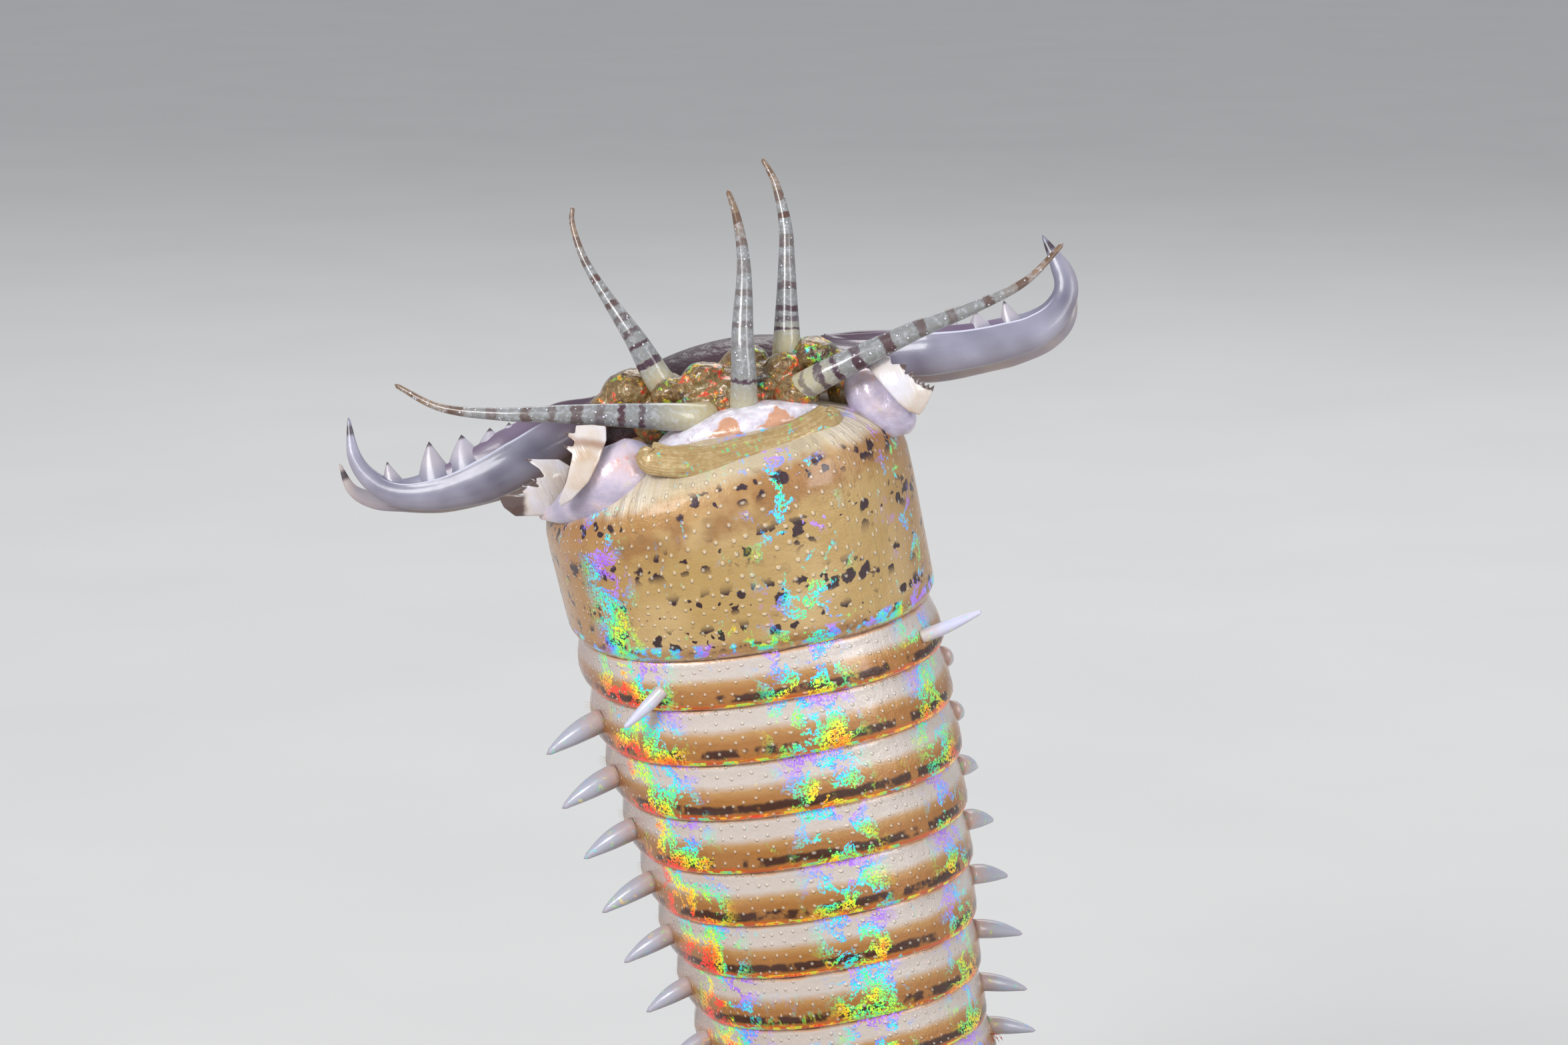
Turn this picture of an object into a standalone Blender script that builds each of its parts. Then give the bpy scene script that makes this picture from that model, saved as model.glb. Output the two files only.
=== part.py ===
"""A life-size bobbit worm (Eunice aphroditois) as a still model.

The front of the body is raised with its back towards -Y, the jaws are spread,
and the rest of the body lies on the floor in a loose flat coil, belly down.
Metres, +Z up, the floor at z = 0 under the middle of the coil.
"""
import math

import bmesh
import bpy
from mathutils import Matrix, Vector
from mathutils.geometry import interpolate_bezier

MM = 0.001
GAP = 0.3 * MM

# The raised front is laid out on a tilted picture plane: across, up, towards the viewer
VIEW_TILT = math.radians(10)
VIEW_MIDDLE = Vector((27.1, 80.6, 77.0)) * MM
ACROSS = Vector((1, 0, 0))
UP = Vector((0, math.sin(VIEW_TILT), math.cos(VIEW_TILT)))
TOWARDS = Vector((0, -math.cos(VIEW_TILT), math.sin(VIEW_TILT)))

# Centre line of the raised front, in millimetres on the picture plane
NECK_TOP = (-4.1, 1.95, 5.6)
NECK_FOOT = (4.6, -37.8, -7.4)

# The raised front is turned a little about its length, and its rings run askew
FRONT_ROLL = math.radians(10)
RING_TILT = 0.1

# Length in metres, then half widths in millimetres at distances from the neck's top
BODY_LENGTH = 0.985
HALF_WIDTHS = [
    (0, 13.7), (10, 13.5), (20, 13.2), (30, 12.2), (42, 10.8), (60, 10.1),
    (100, 9.5), (350, 9.1), (600, 8.0), (800, 6.4), (920, 4.6), (985, 2.6),
]
DEPTH_TO_WIDTH = 0.84
ROUNDING = 0.84
PERISTOMIUM_END = 9.0 * MM
SECOND_RING_END = 12.8 * MM
RIM_RISE = 1.6 * MM
SEGMENT = 4.45 * MM
FRONT_SEGMENTS = 8
FRONT_SIDES = 20

# The welt across the front edge of the first ring
COLLAR_PLACE = -4.1 * MM
COLLAR_SCALE = 0.8
COLLAR_SPREAD = math.radians(46)
COLLAR_RISE = 1.4 * MM
COLLAR_SKEW = 0.8 * MM
COLLAR_RADIUS = 0.85 * MM

# The hidden body: one solid ring stands for about three real segments
RING_TO_WIDTH = 1.6
RINGS_PER_LENGTH = 4
RINGS_PER_BEND = 2
BODY_SIDES = 10
BELLY_ANGLE = math.pi / BODY_SIDES
GROOVE = 0.9
COIL_START_RADIUS = 92 * MM
COIL_START_ANGLE = math.radians(45)
COIL_PITCH_TO_WIDTH = 3.15
COIL_OVAL = 1.05
COIL_WOBBLE = 0.025
STEP = 1 * MM

# Outgrowths of each ring, as shares of the half width
CIRRUS_LENGTH = 0.40
CIRRUS_RADIUS = 0.085
GILL_LENGTH = 0.40
GILL_RADIUS = 0.05
FIRST_GILL = 36 * MM
LAST_GILL = 900 * MM
GILL_GROWTH = 60 * MM
ROOT_DEPTH = 0.16
LAST_FRONT = SECOND_RING_END + SEGMENT * FRONT_SEGMENTS


def at(across, up, towards):
    """Return the world point of a place on the picture plane, given in millimetres."""
    return VIEW_MIDDLE + (ACROSS * across + UP * up + TOWARDS * towards) * MM


def mix(low, high, share):
    """Return the value a share of the way from low to high."""
    return low + (high - low) * share


def smooth(share):
    """Return a share eased in and out between 0 and 1."""
    share = min(max(share, 0.0), 1.0)
    return share * share * (3 - 2 * share)


def half_width(distance):
    """Return the body's half width at a distance along the centre line."""
    place = distance / MM
    for (start, low), (end, high) in zip(HALF_WIDTHS, HALF_WIDTHS[1:]):
        if place <= end:
            return mix(low, high, max(place - start, 0) / (end - start)) * MM
    return HALF_WIDTHS[-1][1] * MM


def floor_height(distance):
    """Return the centre line's height where the belly lies on the floor."""
    return half_width(distance) * DEPTH_TO_WIDTH * math.cos(BELLY_ANGLE) ** ROUNDING


def coil_points(length):
    """Return a flat inward spiral of the given length, about its own centre."""
    points = []
    angle = COIL_START_ANGLE
    radius = COIL_START_RADIUS
    travelled = 0.0
    while travelled < length:
        reach = radius * (1 + COIL_WOBBLE * math.sin(3 * angle))
        points.append(Vector((COIL_OVAL * reach * math.cos(angle), reach * math.sin(angle) / COIL_OVAL, 0)))
        pitch = COIL_PITCH_TO_WIDTH * half_width(BODY_LENGTH - length + travelled)
        turn = STEP / radius
        radius -= pitch * turn / math.tau
        angle -= turn
        travelled += STEP
    return points


def centre_line():
    """Return the body's centre line as points, with the place where it reaches the floor."""
    top = at(*NECK_TOP)
    foot = at(*NECK_FOOT)
    neck_length = (foot - top).length
    down = (foot - top).normalized()
    coil = coil_points(BODY_LENGTH)
    level = (coil[1] - coil[0]).normalized()
    turn = down.angle(level)
    inward = (level - down * down.dot(level)).normalized()
    drop_per_radius = math.sin(turn) * down.z + (1 - math.cos(turn)) * inward.z
    bend_radius = (foot.z - floor_height(0.1)) / -drop_per_radius
    bend_length = bend_radius * turn
    points = [top + down * (neck_length * index / 40) for index in range(40)]
    for index in range(50):
        swing = turn * index / 50
        points.append(foot + bend_radius * (math.sin(swing) * down + (1 - math.cos(swing)) * inward))
    landing = foot + bend_radius * (math.sin(turn) * down + (1 - math.cos(turn)) * inward)
    coil = coil_points(BODY_LENGTH - neck_length - bend_length)
    lying_from = neck_length + bend_length
    points += [landing + point - coil[0] for point in coil]
    return points, neck_length, lying_from


LINE, NECK_LENGTH, LYING_FROM = centre_line()
DISTANCES = [0.0]
for before, after in zip(LINE, LINE[1:]):
    DISTANCES.append(DISTANCES[-1] + (after - before).length)


def line_point(distance):
    """Return the point of the centre line at a distance, past its ends as well."""
    low = 0
    high = len(DISTANCES) - 2
    while low < high:
        middle = (low + high + 1) // 2
        if DISTANCES[middle] <= distance:
            low = middle
        else:
            high = middle - 1
    span = DISTANCES[low + 1] - DISTANCES[low]
    point = LINE[low].lerp(LINE[low + 1], (distance - DISTANCES[low]) / span)
    if distance > LYING_FROM:
        point.z = floor_height(distance)
    return point


def section(distance):
    """Return the centre, the way to the back and the way to the side at a distance."""
    tailward = (line_point(distance + 2 * MM) - line_point(distance - 2 * MM)).normalized()
    settled = smooth((distance - NECK_LENGTH * 0.7) / (LYING_FROM + 20 * MM - NECK_LENGTH * 0.7))
    back = TOWARDS.lerp(Vector((0, 0, 1)), settled)
    back = (back - tailward * back.dot(tailward)).normalized()
    side = back.cross(tailward)
    roll = FRONT_ROLL * (1 - settled)
    turned_back = back * math.cos(roll) + side * math.sin(roll)
    turned_side = side * math.cos(roll) - back * math.sin(roll)
    tilt = RING_TILT * (1 - settled) * mix(-0.5, 1, smooth((distance + 4 * MM) / (14 * MM)))
    return line_point(distance), turned_back, turned_side + tailward * tilt


def rounded(share):
    """Return a sine or cosine drawn out towards a rounded box."""
    return math.copysign(abs(share) ** ROUNDING, share)


def skin_point(distance, angle, scale=1.0):
    """Return a point of the body's surface: angle 0 is the back, a quarter turn the side."""
    centre, back, side = section(distance)
    reach = half_width(distance) * scale
    point = centre + side * (reach * rounded(math.sin(angle)))
    point += back * (reach * DEPTH_TO_WIDTH * rounded(math.cos(angle)))
    point.z = max(point.z, 0.0)
    return point


def body_ring(distance, scale, sides):
    """Return one ring of the body, with an edge and not a corner under the belly."""
    step = math.tau / sides
    return [skin_point(distance, step * (index + 0.5), scale) for index in range(sides)]


def loft(rings, start_pole=None, end_pole=None):
    """Return a closed mesh through rings of like count, each end flat or drawn to a pole."""
    mesh = bmesh.new()
    rows = [[mesh.verts.new(point) for point in ring] for ring in rings]
    count = len(rings[0])
    for upper, lower in zip(rows, rows[1:]):
        for index in range(count):
            after = (index + 1) % count
            mesh.faces.new((upper[index], upper[after], lower[after], lower[index]))
    for row, pole in ((rows[0], start_pole), (rows[-1], end_pole)):
        if pole is None:
            mesh.faces.new(row)
            continue
        tip = mesh.verts.new(pole)
        for index in range(count):
            mesh.faces.new((row[index], row[(index + 1) % count], tip))
    bmesh.ops.recalc_face_normals(mesh, faces=mesh.faces)
    return mesh


def material(name, colour, roughness, metallic=0.0):
    """Return a plain material for one kind of sub-part."""
    made = bpy.data.materials.new(name)
    made.use_nodes = True
    shader = made.node_tree.nodes["Principled BSDF"]
    shader.inputs["Base Color"].default_value = (*colour, 1)
    shader.inputs["Roughness"].default_value = roughness
    shader.inputs["Metallic"].default_value = metallic
    return made


def add_object(name, mesh, finish):
    """Turn a bmesh into a named object in the worm's collection."""
    data = bpy.data.meshes.new(name)
    mesh.to_mesh(data)
    mesh.free()
    data.materials.append(finish)
    data.shade_smooth()
    data.set_sharp_from_angle(angle=math.radians(40))
    made = bpy.data.objects.new(name, data)
    WORM.objects.link(made)
    return made


def keep_largest(data):
    """Keep only a mesh's largest closed surface, which drops scraps and sealed hollows."""
    mesh = bmesh.new()
    mesh.from_mesh(data)
    waiting = set(mesh.faces)
    groups = []
    while waiting:
        group = set()
        front = [waiting.pop()]
        while front:
            face = front.pop()
            group.add(face)
            for edge in face.edges:
                for other in edge.link_faces:
                    if other in waiting:
                        waiting.remove(other)
                        front.append(other)
        groups.append(group)
    groups.sort(key=lambda group: sum(face.calc_area() for face in group))
    spare = [face for group in groups[:-1] for face in group]
    bmesh.ops.delete(mesh, geom=spare, context="FACES")
    mesh.to_mesh(data)
    mesh.free()


def apply_modifiers(piece):
    """Replace a piece's mesh by what its modifiers make of it."""
    bpy.context.view_layer.update()
    graph = bpy.context.evaluated_depsgraph_get()
    made = bpy.data.meshes.new_from_object(piece.evaluated_get(graph))
    piece.modifiers.clear()
    piece.data = made
    keep_largest(made)


def remove_object(piece):
    """Delete an object and its mesh."""
    data = piece.data
    bpy.data.objects.remove(piece)
    bpy.data.meshes.remove(data)


def join(name, meshes, finish):
    """Join closed meshes into one body by a Boolean union."""
    body = add_object(name, meshes[0], finish)
    if len(meshes) == 1:
        return body
    operands = bpy.data.collections.new(name + "_operands")
    CUTTERS.children.link(operands)
    extras = []
    for index, mesh in enumerate(meshes[1:]):
        extra = add_object(f"{name}_operand_{index}", mesh, finish)
        WORM.objects.unlink(extra)
        operands.objects.link(extra)
        extras.append(extra)
    union = body.modifiers.new("union", "BOOLEAN")
    union.operation = "UNION"
    union.operand_type = "COLLECTION"
    union.collection = operands
    union.solver = "EXACT"
    apply_modifiers(body)
    for extra in extras:
        remove_object(extra)
    bpy.data.collections.remove(operands)
    return body


def boxes_meet(first, second):
    """Tell whether the boxes round two pieces come within a gap of each other."""
    for axis in range(3):
        one = [vertex.co[axis] for vertex in first.data.vertices]
        two = [vertex.co[axis] for vertex in second.data.vertices]
        if max(one) + GAP * 2 < min(two) or max(two) + GAP * 2 < min(one):
            return False
    return True


def grown_cutter(carrier):
    """Return a carrier's shape before its own cuts, grown by the gap, to cut another piece with."""
    mesh = bmesh.new()
    mesh.from_mesh(WHOLE[carrier.name])
    mesh.normal_update()
    moves = [vertex.normal * (GAP * min(vertex.calc_shell_factor(), 1.6)) for vertex in mesh.verts]
    for vertex, move in zip(mesh.verts, moves):
        vertex.co += move
    cutter = add_object(carrier.name + "_cutter", mesh, carrier.data.materials[0])
    WORM.objects.unlink(cutter)
    CUTTERS.objects.link(cutter)
    cutter.hide_render = True
    cutter.display_type = "WIRE"
    return cutter


def volume(data):
    """Return the volume inside a closed mesh, negative if it is inside out."""
    mesh = bmesh.new()
    mesh.from_mesh(data)
    held = mesh.calc_volume(signed=True)
    mesh.free()
    return held


def cut_clear(piece, carriers):
    """Cut a piece back to a thin gap from each of the pieces that carry it."""
    WHOLE[piece.name] = piece.data.copy()
    for carrier in carriers:
        if not boxes_meet(piece, carrier):
            continue
        cutter = grown_cutter(carrier)
        uncut = piece.data
        for solver in ("EXACT", "MANIFOLD"):
            cut = piece.modifiers.new("clear", "BOOLEAN")
            cut.operation = "DIFFERENCE"
            cut.object = cutter
            cut.solver = solver
            apply_modifiers(piece)
            if 0 < volume(piece.data) <= volume(uncut) * 1.001:
                break
            piece.data = uncut
        remove_object(cutter)
    return piece


def spike(root, tip, radius, tip_radius, sides=4, flat=1.0, across=None):
    """Return a tapered closed spike from root to tip, thinner along its second axis if flat."""
    axis = (tip - root).normalized()
    first = across if across is not None else axis.orthogonal()
    first = (first - axis * first.dot(axis)).normalized()
    second = axis.cross(first)
    mesh = bmesh.new()
    bmesh.ops.create_cone(
        mesh, cap_ends=True, segments=sides, radius1=radius, radius2=tip_radius, depth=(tip - root).length
    )
    bmesh.ops.scale(mesh, vec=(1, flat, 1), verts=mesh.verts)
    turn = Matrix((first, second, axis)).transposed().to_4x4()
    bmesh.ops.transform(mesh, matrix=Matrix.Translation((root + tip) / 2) @ turn, verts=mesh.verts)
    return mesh


def ball(centre, radii, lean, segments=16, rings=10):
    """Return an egg shape set on the picture plane, its radii across, up and towards."""
    mesh = bmesh.new()
    bmesh.ops.create_uvsphere(mesh, u_segments=segments, v_segments=rings, radius=1)
    bmesh.ops.scale(mesh, vec=Vector((radii[0], radii[2], radii[1])) * MM, verts=mesh.verts)
    across = ACROSS * math.cos(lean) + UP * math.sin(lean)
    up = UP * math.cos(lean) - ACROSS * math.sin(lean)
    turn = Matrix((across, -TOWARDS, up)).transposed().to_4x4()
    bmesh.ops.transform(mesh, matrix=Matrix.Translation(at(*centre)) @ turn, verts=mesh.verts)
    return mesh


def curve_through(places, count):
    """Return points evenly spread on a smooth curve through places on the picture plane."""
    points = [Vector(place) for place in places]
    ends = [points[0] * 2 - points[1]] + points + [points[-1] * 2 - points[-2]]
    fine = []
    for before, start, end, after in zip(ends, ends[1:], ends[2:], ends[3:]):
        fine += interpolate_bezier(start, start + (end - before) / 6, end - (after - start) / 6, end, 12)[:-1]
    fine.append(points[-1])
    lengths = [0.0]
    for start, end in zip(fine, fine[1:]):
        lengths.append(lengths[-1] + (end - start).length)
    spread = []
    index = 0
    for step in range(count):
        target = lengths[-1] * step / (count - 1)
        while index < len(fine) - 2 and lengths[index + 1] < target:
            index += 1
        share = (target - lengths[index]) / (lengths[index + 1] - lengths[index])
        spread.append(fine[index].lerp(fine[index + 1], share))
    return spread


def limb(places, radii, count, sides, flat=1.0):
    """Return a tapered limb along a curve on the picture plane, flatter towards the viewer if asked."""
    line = curve_through(places, count)
    rings = []
    for index, centre in enumerate(line):
        ahead = line[min(index + 1, count - 1)] - line[max(index - 1, 0)]
        across = Vector((-ahead.y, ahead.x, 0)).normalized()
        away = ahead.normalized().cross(across)
        share = index / (count - 1) * (len(radii) - 1)
        low = min(int(share), len(radii) - 2)
        radius = mix(radii[low], radii[low + 1], share - low)
        ring = []
        for corner in range(sides):
            angle = math.tau * corner / sides
            ring.append(at(*(centre + across * (radius * math.cos(angle)) + away * (radius * flat * math.sin(angle)))))
        rings.append(ring)
    return loft(rings)


def plate(outline, towards, thickness):
    """Return a flat plate from its outline on the picture plane."""
    mesh = bmesh.new()
    corners = [mesh.verts.new(at(across, up, towards - thickness / 2)) for across, up in outline]
    face = mesh.faces.new(corners)
    grown = bmesh.ops.extrude_face_region(mesh, geom=[face])
    moved = [item for item in grown["geom"] if isinstance(item, bmesh.types.BMVert)]
    bmesh.ops.translate(mesh, vec=TOWARDS * (thickness * MM), verts=moved)
    bmesh.ops.recalc_face_normals(mesh, faces=mesh.faces)
    return mesh


def toothed_line(start, end, teeth, height):
    """Return the zigzag between two places of an outline, its teeth to the left of the way there."""
    start = Vector(start)
    end = Vector(end)
    left = Vector((start.y - end.y, end.x - start.x)).normalized() * height
    places = []
    for index in range(teeth):
        places.append(tuple(start.lerp(end, index / teeth)))
        places.append(tuple(start.lerp(end, (index + 0.6) / teeth) + left))
    places.append(tuple(end))
    return places


def cirrus(distance, side, scale=1.0):
    """Return the tapered dorsal cirrus at one side of a ring."""
    reach = half_width(distance)
    angle = side * math.radians(84)
    root = skin_point(distance, angle, 1 - ROOT_DEPTH)
    _, back, _ = section(distance)
    outward = (skin_point(distance, angle, 2) - skin_point(distance, angle, 1)).normalized()
    tip = skin_point(distance, angle) + (outward + back * 0.12) * (reach * CIRRUS_LENGTH * scale)
    tip += (line_point(distance + 2 * MM) - line_point(distance)).normalized() * (reach * 0.12)
    sides = 4 if distance < LAST_FRONT else 3
    return spike(root, tip, reach * CIRRUS_RADIUS, reach * CIRRUS_RADIUS * 0.35, sides)


def gill(distance, side, lean):
    """Return one tapered gill filament, standing up from beside the back."""
    reach = half_width(distance)
    angle = side * math.radians(66)
    root = skin_point(distance, angle, 1 - ROOT_DEPTH)
    _, back, _ = section(distance)
    outward = (skin_point(distance, angle, 2) - skin_point(distance, angle, 1)).normalized()
    tailward = (line_point(distance + 2 * MM) - line_point(distance)).normalized()
    grown = min(0.35 + (distance - FIRST_GILL) / GILL_GROWTH, 1.0)
    way = outward * 0.8 + back * 0.5 + tailward * lean
    tip = skin_point(distance, angle) + way * (reach * GILL_LENGTH * grown)
    return spike(root, tip, reach * GILL_RADIUS, reach * GILL_RADIUS * 0.5, sides=3)


def outgrowths(distance, pitch):
    """Return the cirri and gills of both sides of a ring."""
    made = []
    for side in (-1, 1):
        made.append(cirrus(distance, side))
        if FIRST_GILL < distance < LAST_GILL:
            for place, lean in ((-0.22, -0.25), (0.24, 0.35)):
                made.append(gill(distance + pitch * place, side, lean))
    return made


def rim_ring(place, scale):
    """Return a ring near the body's front edge, which reaches further forward on the back."""
    ring = []
    for index in range(FRONT_SIDES):
        angle = math.tau * (index + 0.5) / FRONT_SIDES
        ring.append(skin_point(place - RIM_RISE * max(math.cos(angle), 0), angle, scale))
    return ring


def peristomium():
    """Build the broad first ring, rounded over at the top where the head sits."""
    top = [(-4.8, 0.55), (-4.2, 0.77), (-3.1, 0.91), (-1.2, 0.985)]
    rings = [rim_ring(place * MM, scale) for place, scale in top]
    rings.append(body_ring(4.2 * MM, 1.0, FRONT_SIDES))
    rings.append(body_ring(7.8 * MM, 1.0, FRONT_SIDES))
    rings.append(body_ring(PERISTOMIUM_END - GAP / 2, 0.955, FRONT_SIDES))
    pole = line_point(-5.6 * MM)
    made = add_object("peristomium", loft(rings, start_pole=pole), TAN)
    WHOLE[made.name] = made.data.copy()
    return made


def second_ring():
    """Build the short ring behind the peristomium."""
    start = PERISTOMIUM_END + GAP / 2
    end = SECOND_RING_END - GAP / 2
    places = [(start, 0.955), (mix(start, end, 0.35), 1.0), (mix(start, end, 0.8), 0.99), (end, 0.95)]
    rings = [body_ring(place, scale, FRONT_SIDES) for place, scale in places]
    made = add_object("second_ring", loft(rings), BRONZE)
    WHOLE[made.name] = made.data.copy()
    return made


def front_trunk(name, first, count):
    """Build a length of the raised front with every real segment."""
    start = SECOND_RING_END + SEGMENT * first + GAP / 2
    rings = []
    for index in range(count):
        lead = start + SEGMENT * index
        last = lead + SEGMENT - (GAP if index == count - 1 else 0)
        rings.append(body_ring(lead, 0.95, FRONT_SIDES))
        rings.append(body_ring(mix(lead, last, 0.3), 1.0, FRONT_SIDES))
        rings.append(body_ring(mix(lead, last, 0.85), 1.0, FRONT_SIDES))
    rings.append(body_ring(last, 0.95, FRONT_SIDES))
    meshes = [loft(rings)]
    for index in range(count):
        meshes += outgrowths(start + SEGMENT * (index + 0.5), SEGMENT)
    return join(name, meshes, BRONZE)


def ring_places():
    """Return where each coarse ring of the hidden body starts, and the body's end."""
    places = [SECOND_RING_END + SEGMENT * FRONT_SEGMENTS]
    while places[-1] < BODY_LENGTH - 14 * MM:
        places.append(places[-1] + half_width(places[-1]) * RING_TO_WIDTH)
    return places


def body_length(name, places, finish, last=False):
    """Build one length of the hidden body from its coarse rings."""
    rings = []
    meshes = []
    start = places[0] + GAP / 2
    end = places[-1] - GAP / 2
    edges = [start] + list(places[1:-1]) + [end]
    for lead, after in zip(edges, edges[1:]):
        rings.append(body_ring(lead, GROOVE, BODY_SIDES))
        rings.append(body_ring(mix(lead, after, 0.22), 1.0, BODY_SIDES))
        rings.append(body_ring(mix(lead, after, 0.78), 1.0, BODY_SIDES))
    pole = None
    if last:
        rings.append(body_ring(end + 3 * MM, 0.62, BODY_SIDES))
        pole = line_point(end + 4.5 * MM)
    else:
        rings.append(body_ring(end, GROOVE, BODY_SIDES))
    meshes.append(loft(rings, end_pole=pole))
    for lead, after in zip(edges, edges[1:]):
        meshes += outgrowths(mix(lead, after, 0.5), after - lead)
    if last:
        for side in (-1, 1):
            meshes.append(tail_cirrus(end, side))
    return join(name, meshes, finish)


def tail_cirrus(end, side):
    """Return one of the two threads that trail from the tail's end."""
    centre, _, across = section(end)
    tailward = (line_point(end + 2 * MM) - line_point(end)).normalized()
    root = centre + tailward * (1 * MM) + across * (side * 0.8 * MM)
    tip = centre + tailward * (11 * MM) + across * (side * 3.4 * MM)
    tip.z = 0.8 * MM
    return spike(root, tip, 0.45 * MM, 0.2 * MM)


def peristomial_cirrus(name, distance, angle, tip):
    """Build one of the two pale feelers of the second ring."""
    root = skin_point(distance, angle, 0.95)
    mesh = spike(root, tip, 0.62 * MM, 0.25 * MM, sides=8)
    return add_object(name, mesh, FEELER)


def prostomium():
    """Build the small head lobe that carries the feelers, with its rounded humps."""
    lean = math.radians(14)
    meshes = [
        ball((-4.1, 9.2, 7.6), (7.9, 4.2, 5.3), lean, 16, 10),
        ball((-11.2, 9.6, 6.2), (2.4, 2.2, 2.6), lean, 8, 6),
        ball((-5.6, 11.4, 6.0), (3.0, 2.6, 3.2), lean, 10, 6),
        ball((2.3, 12.4, 6.0), (2.5, 2.2, 2.6), lean, 8, 6),
    ]
    return join("prostomium", meshes, GOLD)


def pharynx():
    """Build the turned-out throat behind the head lobe, which carries the jaws."""
    return add_object("pharynx", ball((-5.0, 9.2, 0.9), (9.4, 4.3, 5.2), math.radians(16), 16, 10), FLESH)


def nuchal_fold():
    """Build the pale fold between the collar and the feelers."""
    return add_object("nuchal_fold", ball((-3.4, 6.5, 10.9), (6.4, 1.9, 3.3), math.radians(13), 14, 8), PALE)


def collar():
    """Build the rounded welt across the front edge of the peristomium."""
    line = []
    for index in range(13):
        share = index / 6 - 1
        turn = COLLAR_SPREAD * share
        place = COLLAR_PLACE - RIM_RISE * math.cos(turn) - COLLAR_RISE * share ** 2 + COLLAR_SKEW * share
        line.append(skin_point(place, turn, COLLAR_SCALE))
    rings = []
    for index, centre in enumerate(line):
        ahead = (line[min(index + 1, 12)] - line[max(index - 1, 0)]).normalized()
        outward = (centre - line_point(0)).normalized()
        outward = (outward - ahead * outward.dot(ahead)).normalized()
        across = ahead.cross(outward)
        radius = COLLAR_RADIUS * (0.7 if index in (0, 12) else 1)
        corners = [math.tau * corner / 8 for corner in range(8)]
        rings.append([centre + (outward * math.cos(a) + across * math.sin(a)) * radius for a in corners])
    return add_object("collar", loft(rings), GOLD)


def feeler(name, places, radii):
    """Build one of the five feelers of the head lobe, thick at its root."""
    return add_object(name, limb(places, radii, 13, 8), FEELER)


def jaw(name, places, radii, teeth, flat):
    """Build one hooked jaw with its teeth, each tooth as root, tip and radius."""
    meshes = [limb(places, radii, 12, 8, flat)]
    for root, tip, radius in teeth:
        meshes.append(spike(at(*root), at(*tip), radius * MM, 0.07 * MM, sides=6, flat=0.7, across=ACROSS))
    return join(name, meshes, JAW)


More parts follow.
